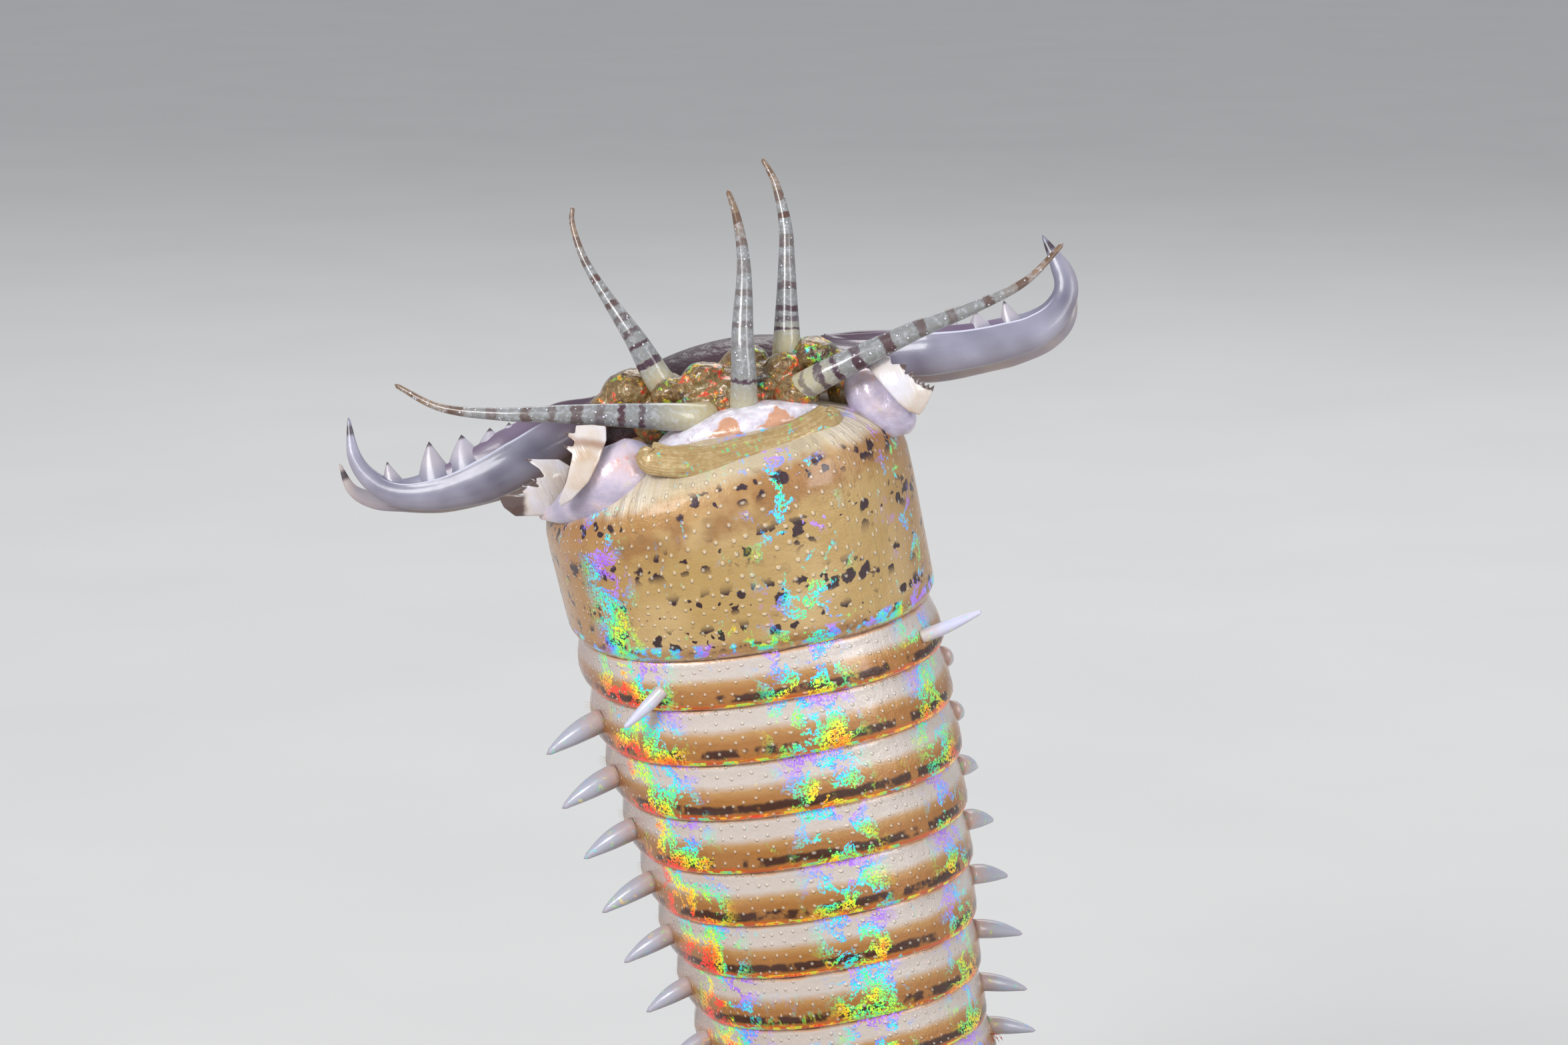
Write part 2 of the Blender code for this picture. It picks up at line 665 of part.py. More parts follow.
def build_jaws():
    """Build the jaws, plates and pads of both sides, clear of each other."""
    base = [HEAD["peristomium"], HEAD["pharynx"], HEAD["prostomium"]]
    left_pad = add_object("pad_left", ball((-14.3, 3.6, 6.6), (4.4, 2.4, 2.5), math.radians(40), 14, 8), PAD)
    right_pad = add_object("pad_right", ball((7.0, 8.9, 6.4), (3.3, 2.6, 2.3), math.radians(30), 14, 8), PAD)
    cut_clear(left_pad, base)
    cut_clear(right_pad, base)
    left_fang = jaw(
        "fang_left",
        [(-12.5, 8.4, 0.8), (-16.2, 6.4, 1.2), (-19.2, 4.7, 1.8), (-22.7, 3.1, 2.2), (-25.6, 2.1, 2.6),
         (-28.5, 1.7, 3.0), (-30.5, 1.7, 3.2), (-32.1, 2.5, 3.4), (-33.0, 4.4, 3.6)],
        [1.5, 2.2, 2.5, 2.2, 1.8, 1.4, 0.9, 0.55, 0.08], [], 0.5,
    )
    right_fang = jaw(
        "fang_right",
        [(2.5, 12.7, 0.8), (6.2, 12.6, 1.2), (9.2, 12.4, 1.8), (12.1, 12.4, 2.2), (15.1, 12.8, 2.6),
         (17.5, 13.2, 2.9), (19.6, 13.9, 3.1), (21.0, 15.4, 3.2), (21.5, 18.6, 3.2)],
        [1.3, 1.7, 1.95, 1.95, 1.7, 1.5, 1.1, 0.7, 0.08], [], 0.5,
    )
    cut_clear(left_fang, base + [left_pad])
    cut_clear(right_fang, base + [right_pad])
    left_jaw = jaw(
        "jaw_left",
        [(-12.8, 8.5, 4.2), (-15.6, 7.1, 4.8), (-17.4, 6.0, 5.4), (-19.5, 4.6, 6.0), (-22.4, 3.1, 6.0),
         (-25.4, 2.2, 5.8), (-28.3, 2.1, 5.6), (-30.3, 3.0, 5.4), (-31.7, 4.8, 5.2), (-32.2, 7.8, 5.0)],
        [1.2, 1.5, 1.75, 1.9, 1.75, 1.35, 1.05, 0.8, 0.5, 0.08],
        [((-26.3, 2.4, 5.8), (-26.0, 5.9, 5.9), 0.85), ((-24.0, 3.2, 5.9), (-23.6, 6.4, 6.0), 0.85),
         ((-22.1, 4.1, 6.0), (-21.6, 6.9, 6.1), 0.75), ((-20.5, 4.9, 6.0), (-20.6, 7.0, 6.1), 0.6),
         ((-29.2, 2.9, 5.5), (-29.2, 4.5, 5.5), 0.45)],
        0.62,
    )
    right_jaw = jaw(
        "jaw_right",
        [(2.6, 12.9, 4.2), (5.6, 12.5, 4.8), (8.3, 12.4, 5.4), (11.0, 12.6, 6.0), (13.5, 12.9, 6.0),
         (15.9, 13.4, 5.8), (18.4, 14.2, 5.6), (20.2, 15.7, 5.3), (20.8, 17.9, 5.1), (19.1, 21.3, 4.7)],
        [1.1, 1.35, 1.6, 1.75, 1.6, 1.5, 1.35, 1.0, 0.75, 0.08],
        [((16.3, 13.9, 5.8), (16.2, 16.2, 5.9), 0.8), ((14.4, 13.4, 5.9), (14.2, 15.6, 6.0), 0.75),
         ((12.8, 13.2, 6.0), (12.6, 14.8, 6.1), 0.65), ((11.2, 13.4, 6.0), (11.0, 14.7, 6.1), 0.5)],
        0.62,
    )
    cut_clear(left_jaw, base + [left_pad, left_fang])
    cut_clear(right_jaw, base + [right_pad, right_fang])
    left_carriers = base + [left_pad, left_fang, left_jaw]
    left_plates = [
        ("plate_left_inner", [(-15.6, 1.7)] + toothed_line((-16.9, 1.5), (-16.1, 7.2), 5, 0.4)
         + [(-13.4, 7.3), (-13.6, 5.6), (-14.6, 3.2)]),
        ("plate_left_outer", [(-17.4, 0.6)] + toothed_line((-18.4, 0.9), (-19.2, 4.5), 4, 0.45)
         + [(-17.3, 4.9), (-17.0, 2.8)]),
    ]
    right_plates = [
        ("plate_right", [(10.0, 8.0), (6.3, 11.6), (8.6, 11.6)] + toothed_line((10.9, 10.4), (10.7, 9.2), 2, 0.4)),
    ]
    for name, outline in left_plates:
        piece = add_object(name, plate(outline, 8.3, 0.8), IVORY)
        left_carriers.append(cut_clear(piece, left_carriers))
    for name, outline in right_plates:
        piece = add_object(name, plate(outline, 8.3, 0.8), IVORY)
        cut_clear(piece, base + [right_pad, right_fang, right_jaw])


def build_head():
    """Build the head lobe, its folds and the throat, each clear of what carries it."""
    HEAD["peristomium"] = peristomium()
    HEAD["pharynx"] = cut_clear(pharynx(), [HEAD["peristomium"]])
    HEAD["prostomium"] = cut_clear(prostomium(), [HEAD["peristomium"], HEAD["pharynx"]])
    under = [HEAD["peristomium"], HEAD["prostomium"], HEAD["pharynx"]]
    HEAD["nuchal_fold"] = cut_clear(nuchal_fold(), under)
    HEAD["collar"] = cut_clear(collar(), under + [HEAD["nuchal_fold"]])


def build_feelers():
    """Build the five feelers and cut their roots to the head."""
    routes = {
        "antenna_median": (
            [(-2.8, 7.4, 10.6), (-2.9, 8.9, 12.0), (-2.9, 10.8, 12.6), (-3.0, 13.7, 12.6), (-2.9, 18.5, 12.0),
             (-3.4, 22.0, 11.2), (-4.1, 24.2, 10.6)],
            [1.1, 1.0, 0.85, 0.72, 0.57, 0.42, 0.2],
        ),
        "antenna_left": (
            [(-8.2, 9.8, 7.6), (-9.1, 10.4, 8.6), (-10.8, 13.3, 9.0), (-12.9, 16.4, 8.6), (-14.6, 19.2, 8.1),
             (-15.5, 21.8, 7.7), (-15.5, 23.2, 7.6)],
            [1.15, 1.0, 0.8, 0.6, 0.4, 0.28, 0.2],
        ),
        "antenna_right": (
            [(0.2, 11.6, 7.6), (0.2, 13.2, 8.2), (0.2, 15.8, 8.2), (0.2, 18.8, 8.1), (0.1, 21.8, 7.7),
             (-0.6, 24.8, 7.2), (-1.6, 26.8, 6.7)],
            [1.15, 0.95, 0.75, 0.62, 0.48, 0.33, 0.2],
        ),
        "palp_left": (
            [(-5.4, 7.8, 10.8), (-7.0, 7.6, 12.6), (-10.8, 7.7, 13.6), (-15.6, 7.8, 13.9), (-20.4, 7.8, 13.7),
             (-24.8, 8.3, 13.0), (-28.2, 10.0, 12.0)],
            [1.1, 1.02, 0.85, 0.68, 0.5, 0.34, 0.2],
        ),
        "palp_right": (
            [(0.6, 9.4, 10.4), (2.2, 10.3, 12.4), (5.4, 11.9, 13.3), (9.6, 13.9, 13.5), (13.6, 15.5, 13.3),
             (17.4, 17.4, 12.8), (20.2, 20.2, 12.2)],
            [1.1, 1.02, 0.82, 0.65, 0.48, 0.33, 0.2],
        ),
    }
    for name, (places, radii) in routes.items():
        cut_clear(feeler(name, places, radii), list(HEAD.values()))


def build_body():
    """Build the body behind the head, length by length."""
    ring = second_ring()
    left_tip = at(-12.3, -14.6, 11.4)
    right_tip = at(14.6, -6.7, 7.0)
    for name, angle, tip in (("cirrus_left", -46, left_tip), ("cirrus_right", 50, right_tip)):
        feeler_piece = peristomial_cirrus(name, 11 * MM, math.radians(angle), tip)
        cut_clear(feeler_piece, [ring, HEAD["peristomium"]])
    front_trunk("trunk_front", 0, 4)
    front_trunk("trunk_middle", 4, 4)
    places = ring_places()
    lengths = []
    while len(places) > RINGS_PER_LENGTH + 2:
        count = RINGS_PER_LENGTH if places[0] > LYING_FROM - 0.02 else RINGS_PER_BEND
        lengths.append(places[:count + 1])
        places = places[count:]
    for index, stretch in enumerate(lengths):
        body_length(f"body_{index + 1:02d}", stretch, BRONZE)
    body_length("tail", places, BRONZE, last=True)


for old in list(bpy.data.objects):
    bpy.data.objects.remove(old)

WORM = bpy.data.collections.new("bobbit_worm")
CUTTERS = bpy.data.collections.new("cutters")
bpy.context.scene.collection.children.link(WORM)
bpy.context.scene.collection.children.link(CUTTERS)

BRONZE = material("bronze_skin", (0.36, 0.17, 0.11), 0.3, 0.5)
TAN = material("tan_skin", (0.62, 0.42, 0.27), 0.38, 0.25)
GOLD = material("golden_skin", (0.66, 0.42, 0.18), 0.35, 0.35)
FLESH = material("throat_flesh", (0.55, 0.33, 0.26), 0.4)
PALE = material("nuchal_white", (0.86, 0.83, 0.8), 0.45)
FEELER = material("feeler_grey", (0.62, 0.64, 0.7), 0.3)
JAW = material("jaw_mauve", (0.35, 0.28, 0.32), 0.2, 0.1)
IVORY = material("plate_ivory", (0.85, 0.78, 0.66), 0.3)
PAD = material("pad_pearl", (0.74, 0.6, 0.62), 0.3)

HEAD = {}
WHOLE = {}
build_head()
build_jaws()
build_feelers()
build_body()
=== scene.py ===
"""A bobbit worm (Eunice aphroditois), dressed as a still, life-size museum model.

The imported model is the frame. One skin covers its flesh from the rim behind the head to the
tail. The head lobe, feelers, jaws, plates, pads, cirri, gills and bristles are pieces of
their own. Names ending in _MM and places on the picture plane are millimetres, and other
lengths are metres.
"""

import bisect
import math
from functools import lru_cache

import bmesh
import bpy
from bpy.props import FloatProperty, FloatVectorProperty, IntProperty, PointerProperty
from mathutils import Matrix, Vector, noise
from mathutils.geometry import interpolate_bezier


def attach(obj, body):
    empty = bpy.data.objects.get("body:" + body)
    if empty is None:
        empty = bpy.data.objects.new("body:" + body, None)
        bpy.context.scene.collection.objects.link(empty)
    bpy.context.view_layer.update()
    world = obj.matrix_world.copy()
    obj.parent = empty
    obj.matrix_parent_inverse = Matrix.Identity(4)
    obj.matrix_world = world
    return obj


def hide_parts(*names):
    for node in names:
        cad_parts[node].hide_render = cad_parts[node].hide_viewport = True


bl_info = {
    "name": "Bobbit Worm Museum Model",
    "version": (1, 0, 0),
    "blender": (4, 5, 0),
    "location": "3D View > Sidebar > Bobbit Worm",
    "description": "Dresses the packed bobbit worm model with skin, jaws, feelers, gills and a studio",
    "category": "Object",
}

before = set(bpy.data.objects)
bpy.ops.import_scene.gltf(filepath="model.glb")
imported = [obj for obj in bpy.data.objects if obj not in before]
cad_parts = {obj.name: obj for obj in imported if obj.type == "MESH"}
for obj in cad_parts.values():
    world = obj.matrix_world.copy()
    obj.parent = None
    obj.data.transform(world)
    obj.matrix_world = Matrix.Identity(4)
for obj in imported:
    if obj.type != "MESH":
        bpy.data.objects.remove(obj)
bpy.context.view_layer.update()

MM = 0.001
UV = "surface"
DARK = "dark"
CURVE_STEPS = 16
DOUBLES = 0.004 * MM

# The raised front is laid out on a tilted picture plane: across, up, towards the viewer
VIEW_TILT = math.radians(10)
VIEW_MIDDLE = Vector((27.1, 80.6, 77.0)) * MM
ACROSS = Vector((1, 0, 0))
UP = Vector((0, math.sin(VIEW_TILT), math.cos(VIEW_TILT)))
TOWARDS = Vector((0, -math.cos(VIEW_TILT), math.sin(VIEW_TILT)))
CAMERA_DISTANCE_MM = 340.0
PICTURE_WIDTH_MM = 117.6
SENSOR_WIDTH_MM = 36.0

# The solids' centre line and widths, which the skin follows
NECK_TOP = (-4.1, 1.95, 5.6)
NECK_FOOT = (4.6, -37.8, -7.4)
FRONT_ROLL = math.radians(10)
RING_TILT = 0.1
BODY_LENGTH = 0.985
HALF_WIDTHS_MM = [
    (0, 13.7), (10, 13.5), (20, 13.2), (30, 12.2), (42, 10.8), (60, 10.1),
    (100, 9.5), (350, 9.1), (600, 8.0), (800, 6.4), (920, 4.6), (985, 2.6),
]
DEPTH_TO_WIDTH = 0.84
ROUNDING = 0.84
FLOOR_SIDES = 10
COIL_START_RADIUS = 92 * MM
COIL_START_ANGLE = math.radians(45)
COIL_PITCH_TO_WIDTH = 3.15
COIL_OVAL = 1.05
COIL_WOBBLE = 0.025
COIL_WAVES = 3
STEP = 1 * MM
LANDING = 0.1
NECK_POINTS = 40
BEND_POINTS = 50
SETTLING_FROM = 0.7
SETTLED_AFTER = 20 * MM

# Side lobes and the belly's furrow, as shares of the width, and how far round they reach in degrees
LOBE_FRONT = 0.025
LOBE_REAR = 0.15
LOBE_GROWS_FROM = 20 * MM
LOBE_GROWS_OVER = 60 * MM
LOBE_DEGREES = 98
LOBE_REACH = 15
FURROW = 0.05
FURROW_REACH = 9
UNEVENNESS = 0.008

# Where the rings begin and end, along the centre line
DOME_TOP = -5.6 * MM
DOME_FOOT = 1.0 * MM
RIM_RISE = 1.6 * MM
RIM_END = 4.2 * MM
RIM_FADE = 5.4 * MM
FIRST_RING_END = 9.0 * MM
SECOND_RING_END = 12.8 * MM
SEGMENT = 4.45 * MM
FRONT_SEGMENTS = 8
RING_TO_WIDTH = 1.6
SEGMENTS_PER_RING = 4
TAIL_MARGIN = 14 * MM
TAIL_LENGTH = 4.5 * MM
DOME_ROWS = 14
FIRST_RING_PLACES_MM = (1.6, 2.2, 2.8, 3.4, 4.0, 4.6, 5.2, 5.8, 6.4, 7.0, 7.6, 8.1, 8.5, 8.75, 8.9)
FIRST_LIP_MM = 8.1
TAIL_ROWS = ((0.0, 0.93), (0.3, 0.9), (0.6, 0.7), (0.85, 0.4), (1.0, 0.0))
FRONT_PHASES = (0, 0.025, 0.06, 0.12, 0.22, 0.35, 0.5, 0.66, 0.8, 0.88, 0.93, 0.965, 0.985)
BODY_PHASES = (0, 0.1, 0.45, 0.8, 0.94)

# The welt across the front edge of the first ring
COLLAR_ROWS = 90
COLLAR_PLACE = -4.1 * MM
COLLAR_SCALE = 0.8
COLLAR_HOOK = 0.4 * MM
COLLAR_SPREAD = math.radians(46)
COLLAR_LEFT_SHARE = 0.82
COLLAR_RISE = 1.4 * MM
COLLAR_SKEW = 0.8 * MM
COLLAR_RADIUS_MM = 0.85

# Grids and flatness of limbs, plates and teeth, and how finely soft forms are melted together
FEELER_GRID = (90, 24)
JAW_GRID = (100, 64)
JAW_FLAT = 0.62
FANG_FLAT = 0.5
LEFT_WALL = 0.42
RIGHT_WALL = 0.14
TOOTH_GRID = (16, 14)
TOOTH_FLAT = 0.55
TOOTH_HOOK = 0.3
TOOTH_MARK = 2
PAD_GRID = (60, 40)
PAD_FLAT = 0.75
PLATE_MM = 0.9
PLATE_VOXEL_MM = 0.065
PLATE_SMOOTHING = 4
HEAD_VOXEL_MM = 0.16
HEAD_SMOOTHING = 3

# Roots of threads as a share of the skin's width, the gills' first segment and end, and single threads
ROOT_DEPTH = 0.96
FIRST_GILL = 7
GROWN_OVER = 16
GILLS_END = 0.9
RING_CIRRUS_PLACE = 11 * MM
RING_CIRRUS_RADIUS = 0.5 * MM
TAIL_CIRRUS_RADIUS = 0.42 * MM

# Each soft light's place on the picture plane in millimetres, and its size in metres
LAMPS = {
    "key": ((-475, 330, 825), (0.42, 0.3)),
    "fill": ((680, 160, 680), (0.26, 0.6)),
    "rim": ((160, 620, -480), (0.7, 0.3)),
}

# Feelers, each as places on the picture plane and radii from root to tip, in millimetres
FEELERS = {
    "antenna_median": (
        [(-2.8, 7.4, 10.6), (-2.9, 8.9, 12.0), (-2.9, 10.8, 12.6), (-3.0, 13.7, 12.6), (-2.9, 18.5, 12.0),
         (-3.4, 22.0, 11.2), (-4.1, 24.2, 10.6)],
        [1.1, 0.98, 0.85, 0.7, 0.5, 0.36, 0.18],
    ),
    "antenna_left": (
        [(-8.2, 9.8, 7.6), (-9.1, 10.4, 8.6), (-10.8, 13.3, 9.0), (-12.9, 16.4, 8.6), (-14.6, 19.2, 8.1),
         (-15.5, 21.8, 7.7), (-15.5, 23.2, 7.6)],
        [1.15, 1.0, 0.75, 0.52, 0.36, 0.25, 0.16],
    ),
    "antenna_right": (
        [(0.2, 11.6, 7.6), (0.2, 13.2, 8.2), (0.2, 15.8, 8.2), (0.2, 18.8, 8.1), (0.1, 21.8, 7.7),
         (-0.6, 24.8, 7.2), (-1.6, 26.8, 6.7)],
        [1.15, 0.95, 0.75, 0.6, 0.48, 0.33, 0.18],
    ),
    "palp_left": (
        [(-5.4, 7.8, 10.8), (-7.0, 7.6, 12.6), (-10.8, 7.7, 13.6), (-15.6, 7.8, 13.9), (-20.4, 7.8, 13.7),
         (-24.8, 8.3, 13.0), (-28.2, 10.0, 12.0)],
        [1.1, 1.02, 0.82, 0.64, 0.46, 0.3, 0.18],
    ),
    "palp_right": (
        [(0.6, 9.4, 10.4), (2.2, 10.3, 12.4), (5.4, 11.9, 13.3), (9.6, 13.9, 13.5), (13.6, 15.5, 13.3),
         (17.4, 17.4, 12.8), (20.2, 20.2, 12.2)],
        [1.1, 1.02, 0.82, 0.65, 0.46, 0.3, 0.18],
    ),
}


def at(across, up, towards):
    """Return the place of a point that is given in millimetres on the picture plane."""
    return VIEW_MIDDLE + (ACROSS * across + UP * up + TOWARDS * towards) * MM


def mix(low, high, share):
    """Return the value at a share of the way from low to high."""
    return low + (high - low) * share


def smooth(share):
    """Return share eased at both ends and held between 0 and 1."""
    share = min(max(share, 0.0), 1.0)
    return share * share * (3 - 2 * share)


def bell(value, middle, width):
    """Return 1 at the middle, falling away over the width."""
    return math.exp(-((value - middle) / width) ** 2)


def table_value(table, place):
    """Return the value at a place in a table of places and values."""
    for (start, low), (end, high) in zip(table, table[1:]):
        if place <= end:
            return mix(low, high, max(place - start, 0) / (end - start))
    return table[-1][1]


@lru_cache(maxsize=None)
def half_width(distance):
    """Return the body's half width at a distance along its centre line."""
    return table_value(HALF_WIDTHS_MM, distance / MM) * MM


def floor_height(distance):
    """Return how high the centre line runs where the belly lies on the floor."""
    return half_width(distance) * DEPTH_TO_WIDTH * math.cos(math.pi / FLOOR_SIDES) ** ROUNDING


def coil_points(length):
    """Return the flat inward coil about its own middle."""
    points = []
    angle = COIL_START_ANGLE
    radius = COIL_START_RADIUS
    travelled = 0.0
    while travelled < length:
        reach = radius * (1 + COIL_WOBBLE * math.sin(COIL_WAVES * angle))
        points.append(Vector((COIL_OVAL * reach * math.cos(angle), reach * math.sin(angle) / COIL_OVAL, 0)))
        pitch = COIL_PITCH_TO_WIDTH * half_width(BODY_LENGTH - length + travelled)
        turn = STEP / radius
        radius -= pitch * turn / math.tau
        angle -= turn
        travelled += STEP
    return points


def square_to(axis, way):
    """Return the direction of the part of a way that stands square to an axis."""
    return (way - axis * way.dot(axis)).normalized()


def centre_line():
    """Return the centre line's points, the raised length and where the body starts to lie."""
    top = at(*NECK_TOP)
    foot = at(*NECK_FOOT)
    neck_length = (foot - top).length
    down = (foot - top).normalized()
    coil = coil_points(BODY_LENGTH)
    level = (coil[1] - coil[0]).normalized()
    turn = down.angle(level)
    inward = square_to(down, level)
    drop_per_radius = math.sin(turn) * down.z + (1 - math.cos(turn)) * inward.z
    bend_radius = (foot.z - floor_height(LANDING)) / -drop_per_radius
    bend_length = bend_radius * turn

    def bent(swing):
        return foot + bend_radius * (math.sin(swing) * down + (1 - math.cos(swing)) * inward)

    points = [top + down * (neck_length * index / NECK_POINTS) for index in range(NECK_POINTS)]
    points += [bent(turn * index / BEND_POINTS) for index in range(BEND_POINTS)]
    landing = bent(turn)
    coil = coil_points(BODY_LENGTH - neck_length - bend_length)
    points += [landing + point - coil[0] for point in coil]
    return points, neck_length, neck_length + bend_length


def lengths_along(points):
    """Return how far along its line each point lies."""
    lengths = [0.0]
    for start, end in zip(points, points[1:]):
        lengths.append(lengths[-1] + (end - start).length)
    return lengths


def point_along(points, lengths, distance):
    """Return the point at a distance along a line of points."""
    index = bisect.bisect_right(lengths, distance) - 1
    index = min(max(index, 0), len(points) - 2)
    share = (distance - lengths[index]) / (lengths[index + 1] - lengths[index])
    return points[index].lerp(points[index + 1], share)


LINE, NECK_LENGTH, LYING_FROM = centre_line()
DISTANCES = lengths_along(LINE)


@lru_cache(maxsize=None)
def line_point(distance):
    """Return the point of the centre line at a distance from its top."""
    point = point_along(LINE, DISTANCES, distance)
    if distance > LYING_FROM:
        point.z = floor_height(distance)
    return point


def tailward_at(distance):
    """Return the direction towards the tail."""
    return (line_point(distance + 2 * MM) - line_point(distance - 2 * MM)).normalized()


@lru_cache(maxsize=None)
def section(distance):
    """Return a cross section's centre, and its directions to the back and to the side."""
    tailward = tailward_at(distance)
    start = NECK_LENGTH * SETTLING_FROM
    settled = smooth((distance - start) / (LYING_FROM + SETTLED_AFTER - start))
    back = square_to(tailward, TOWARDS.lerp(Vector((0, 0, 1)), settled))
    side = back.cross(tailward)
    roll = FRONT_ROLL * (1 - settled)
    turned_back = back * math.cos(roll) + side * math.sin(roll)
    turned_side = side * math.cos(roll) - back * math.sin(roll)
    tilt = RING_TILT * (1 - settled) * mix(-0.5, 1, smooth((distance + 4 * MM) / (14 * MM)))
    return line_point(distance), turned_back, turned_side + tailward * tilt


def rounded(share):
    """Return a sine or cosine drawn out towards a boxier outline."""
    return math.copysign(abs(share) ** ROUNDING, share)


def skin_point(distance, angle, scale=1.0):
    """Return a point of the skin, its angle measured from the back."""
    centre, back, side = section(distance)
    reach = half_width(distance) * scale
    point = centre + side * (reach * rounded(math.sin(angle)))
    point += back * (reach * DEPTH_TO_WIDTH * rounded(math.cos(angle)))
    point.z = max(point.z, 0.0)
    return point


def chance(*place):
    """Return a steady number between -1 and 1 that varies with the place."""
    return noise.noise(Vector(place))


# Shader expressions

class Wire:
    """One output of a material's nodes, which takes part in sums as a number does."""

    def __init__(self, finish, socket):
        self.finish = finish
        self.socket = socket

    def __add__(self, other):
        return self.finish.maths("ADD", self, other)

    def __sub__(self, other):
        return self.finish.maths("SUBTRACT", self, other)

    def __rsub__(self, other):
        return self.finish.maths("SUBTRACT", other, self)

    def __mul__(self, other):
        return self.finish.maths("MULTIPLY", self, other)

    def __truediv__(self, other):
        return self.finish.maths("DIVIDE", self, other)

    def __or__(self, other):
        return self.finish.maths("MAXIMUM", self, other)

    __radd__ = __add__
    __rmul__ = __mul__


class Finish:
    """A material whose nodes are made one call at a time."""

    def __init__(self, name):
        self.material = bpy.data.materials.new(name)
        self.material.use_nodes = True
        self.tree = self.material.node_tree
        self.tree.nodes.clear()

    def node(self, kind, settings=None, sockets=None, output=0):
        """Add a node with its settings and its sockets' values or links, and return an output."""
        made = self.tree.nodes.new(kind)
        for key, value in (settings or {}).items():
            if key == "stops":
                self.set_stops(made.color_ramp, value)
            else:
                setattr(made, key, value)
        for key, value in (sockets or {}).items():
            if isinstance(value, Wire):
                self.tree.links.new(value.socket, made.inputs[key])
            else:
                made.inputs[key].default_value = value
        return Wire(self, made.outputs[output]) if made.outputs else None

    def set_stops(self, ramp, stops):
        """Give a colour ramp its places and colours."""
        while len(ramp.elements) < len(stops):
            ramp.elements.new(1.0)
        for element, (place, colour) in zip(ramp.elements, stops):
            element.position = place
            element.color = (*colour, 1.0)

    def maths(self, operation, *values):
        """Return the result of a Math node."""
        return self.node("ShaderNodeMath", {"operation": operation}, dict(enumerate(values)))

    def step(self, value, low, high):
        """Return 0 below low and 1 above high, eased between."""
        sockets = {"Value": value, "From Min": low, "From Max": high}
        return self.node("ShaderNodeMapRange", {"interpolation_type": "SMOOTHSTEP"}, sockets)

    def band(self, value, low, high, edge):
        """Return 1 between low and high and 0 beyond, with soft edges."""
        return self.step(value, low - edge, low + edge) * (1 - self.step(value, high - edge, high + edge))

    def blend(self, factor, *colours):
        """Return two colours mixed."""
        first, second = (each if isinstance(each, Wire) else (*each, 1.0) for each in colours)
        settings = {"data_type": "RGBA", "clamp_factor": True}
        return self.node("ShaderNodeMix", settings, {0: factor, 6: first, 7: second}, 2)

    def layered(self, base, *layers):
        """Return a colour with layers over it in turn, each a factor and a colour."""
        for factor, layer in layers:
            base = self.blend(factor, base, layer)
        return base

    def ramp(self, value, stops):
        """Return the colour of a ramp at a value."""
        return self.node("ShaderNodeValToRGB", {"stops": stops}, {"Fac": value})

    def triangle(self, x, y, corners):
        """Return 1 inside the triangle of three corners, given anticlockwise."""
        inside = 1.0
        for index, (start_x, start_y) in enumerate(corners):
            end_x, end_y = corners[(index + 1) % 3]
            length = math.hypot(end_x - start_x, end_y - start_y)
            run = (end_x - start_x) / length
            rise = (end_y - start_y) / length
            inside = inside * self.step((y - start_y) * run - (x - start_x) * rise, -0.05, 0.15)
        return inside

    def object_mm(self):
        """Return the piece's own coordinates in millimetres."""
        place = self.node("ShaderNodeTexCoord", output="Object")
        return self.node("ShaderNodeVectorMath", {"operation": "SCALE"}, {0: place, "Scale": 1 / MM})

    def picture_mm(self):
        """Return a vector of across, up and towards on the picture plane, in millimetres."""
        return self.node("ShaderNodeMapping", {"vector_type": "TEXTURE"}, {
            "Vector": self.node("ShaderNodeTexCoord", output="Object"), "Location": VIEW_MIDDLE,
            "Rotation": (math.pi / 2 - VIEW_TILT, 0, 0), "Scale": (MM, MM, MM),
        })

    def axis(self, vector, number):
        """Return one part of a vector."""
        return self.node("ShaderNodeSeparateXYZ", None, {0: vector}, number)

    def uv(self):
        """Return the two parts of the piece's own surface coordinates."""
        place = self.node("ShaderNodeUVMap", {"uv_map": UV})
        return self.axis(place, 0), self.axis(place, 1)

    def vector(self, x, y, z=0.0):
        """Return a vector from its parts."""
        return self.node("ShaderNodeCombineXYZ", None, {0: x, 1: y, 2: z})

    def cloud(self, vector, scale, detail=2.0, rough=0.5, distortion=0.0, output="Fac"):
        """Return soft noise about 0.5, or its colour."""
        return self.node("ShaderNodeTexNoise", None, {
            "Vector": vector, "Scale": scale, "Detail": detail, "Roughness": rough,
            "Distortion": distortion,
        }, output)

    def cells(self, vector, scale, output="Distance", uneven=1.0, space="3D"):
        """Return the distance to the nearest of scattered points, or that point's chance colour."""
        sockets = {"Vector": vector, "Scale": scale, "Randomness": uneven}
        return self.node("ShaderNodeTexVoronoi", {"voronoi_dimensions": space}, sockets, output)

    def bump(self, height, distance, strength=1.0):
        """Return a normal bent by a height in millimetres times the distance."""
        sockets = {"Height": height, "Distance": distance * MM, "Strength": strength}
        return self.node("ShaderNodeBump", None, sockets)

    def surface(self, colour, rough, normal, others=None):
        """Add the Principled shader and the output, and return the material."""
        sockets = {"Base Color": colour, "Roughness": rough, "Normal": normal, **(others or {})}
        shader = self.node("ShaderNodeBsdfPrincipled", None, sockets)
        self.node("ShaderNodeOutputMaterial", None, {"Surface": shader})
        return self.material


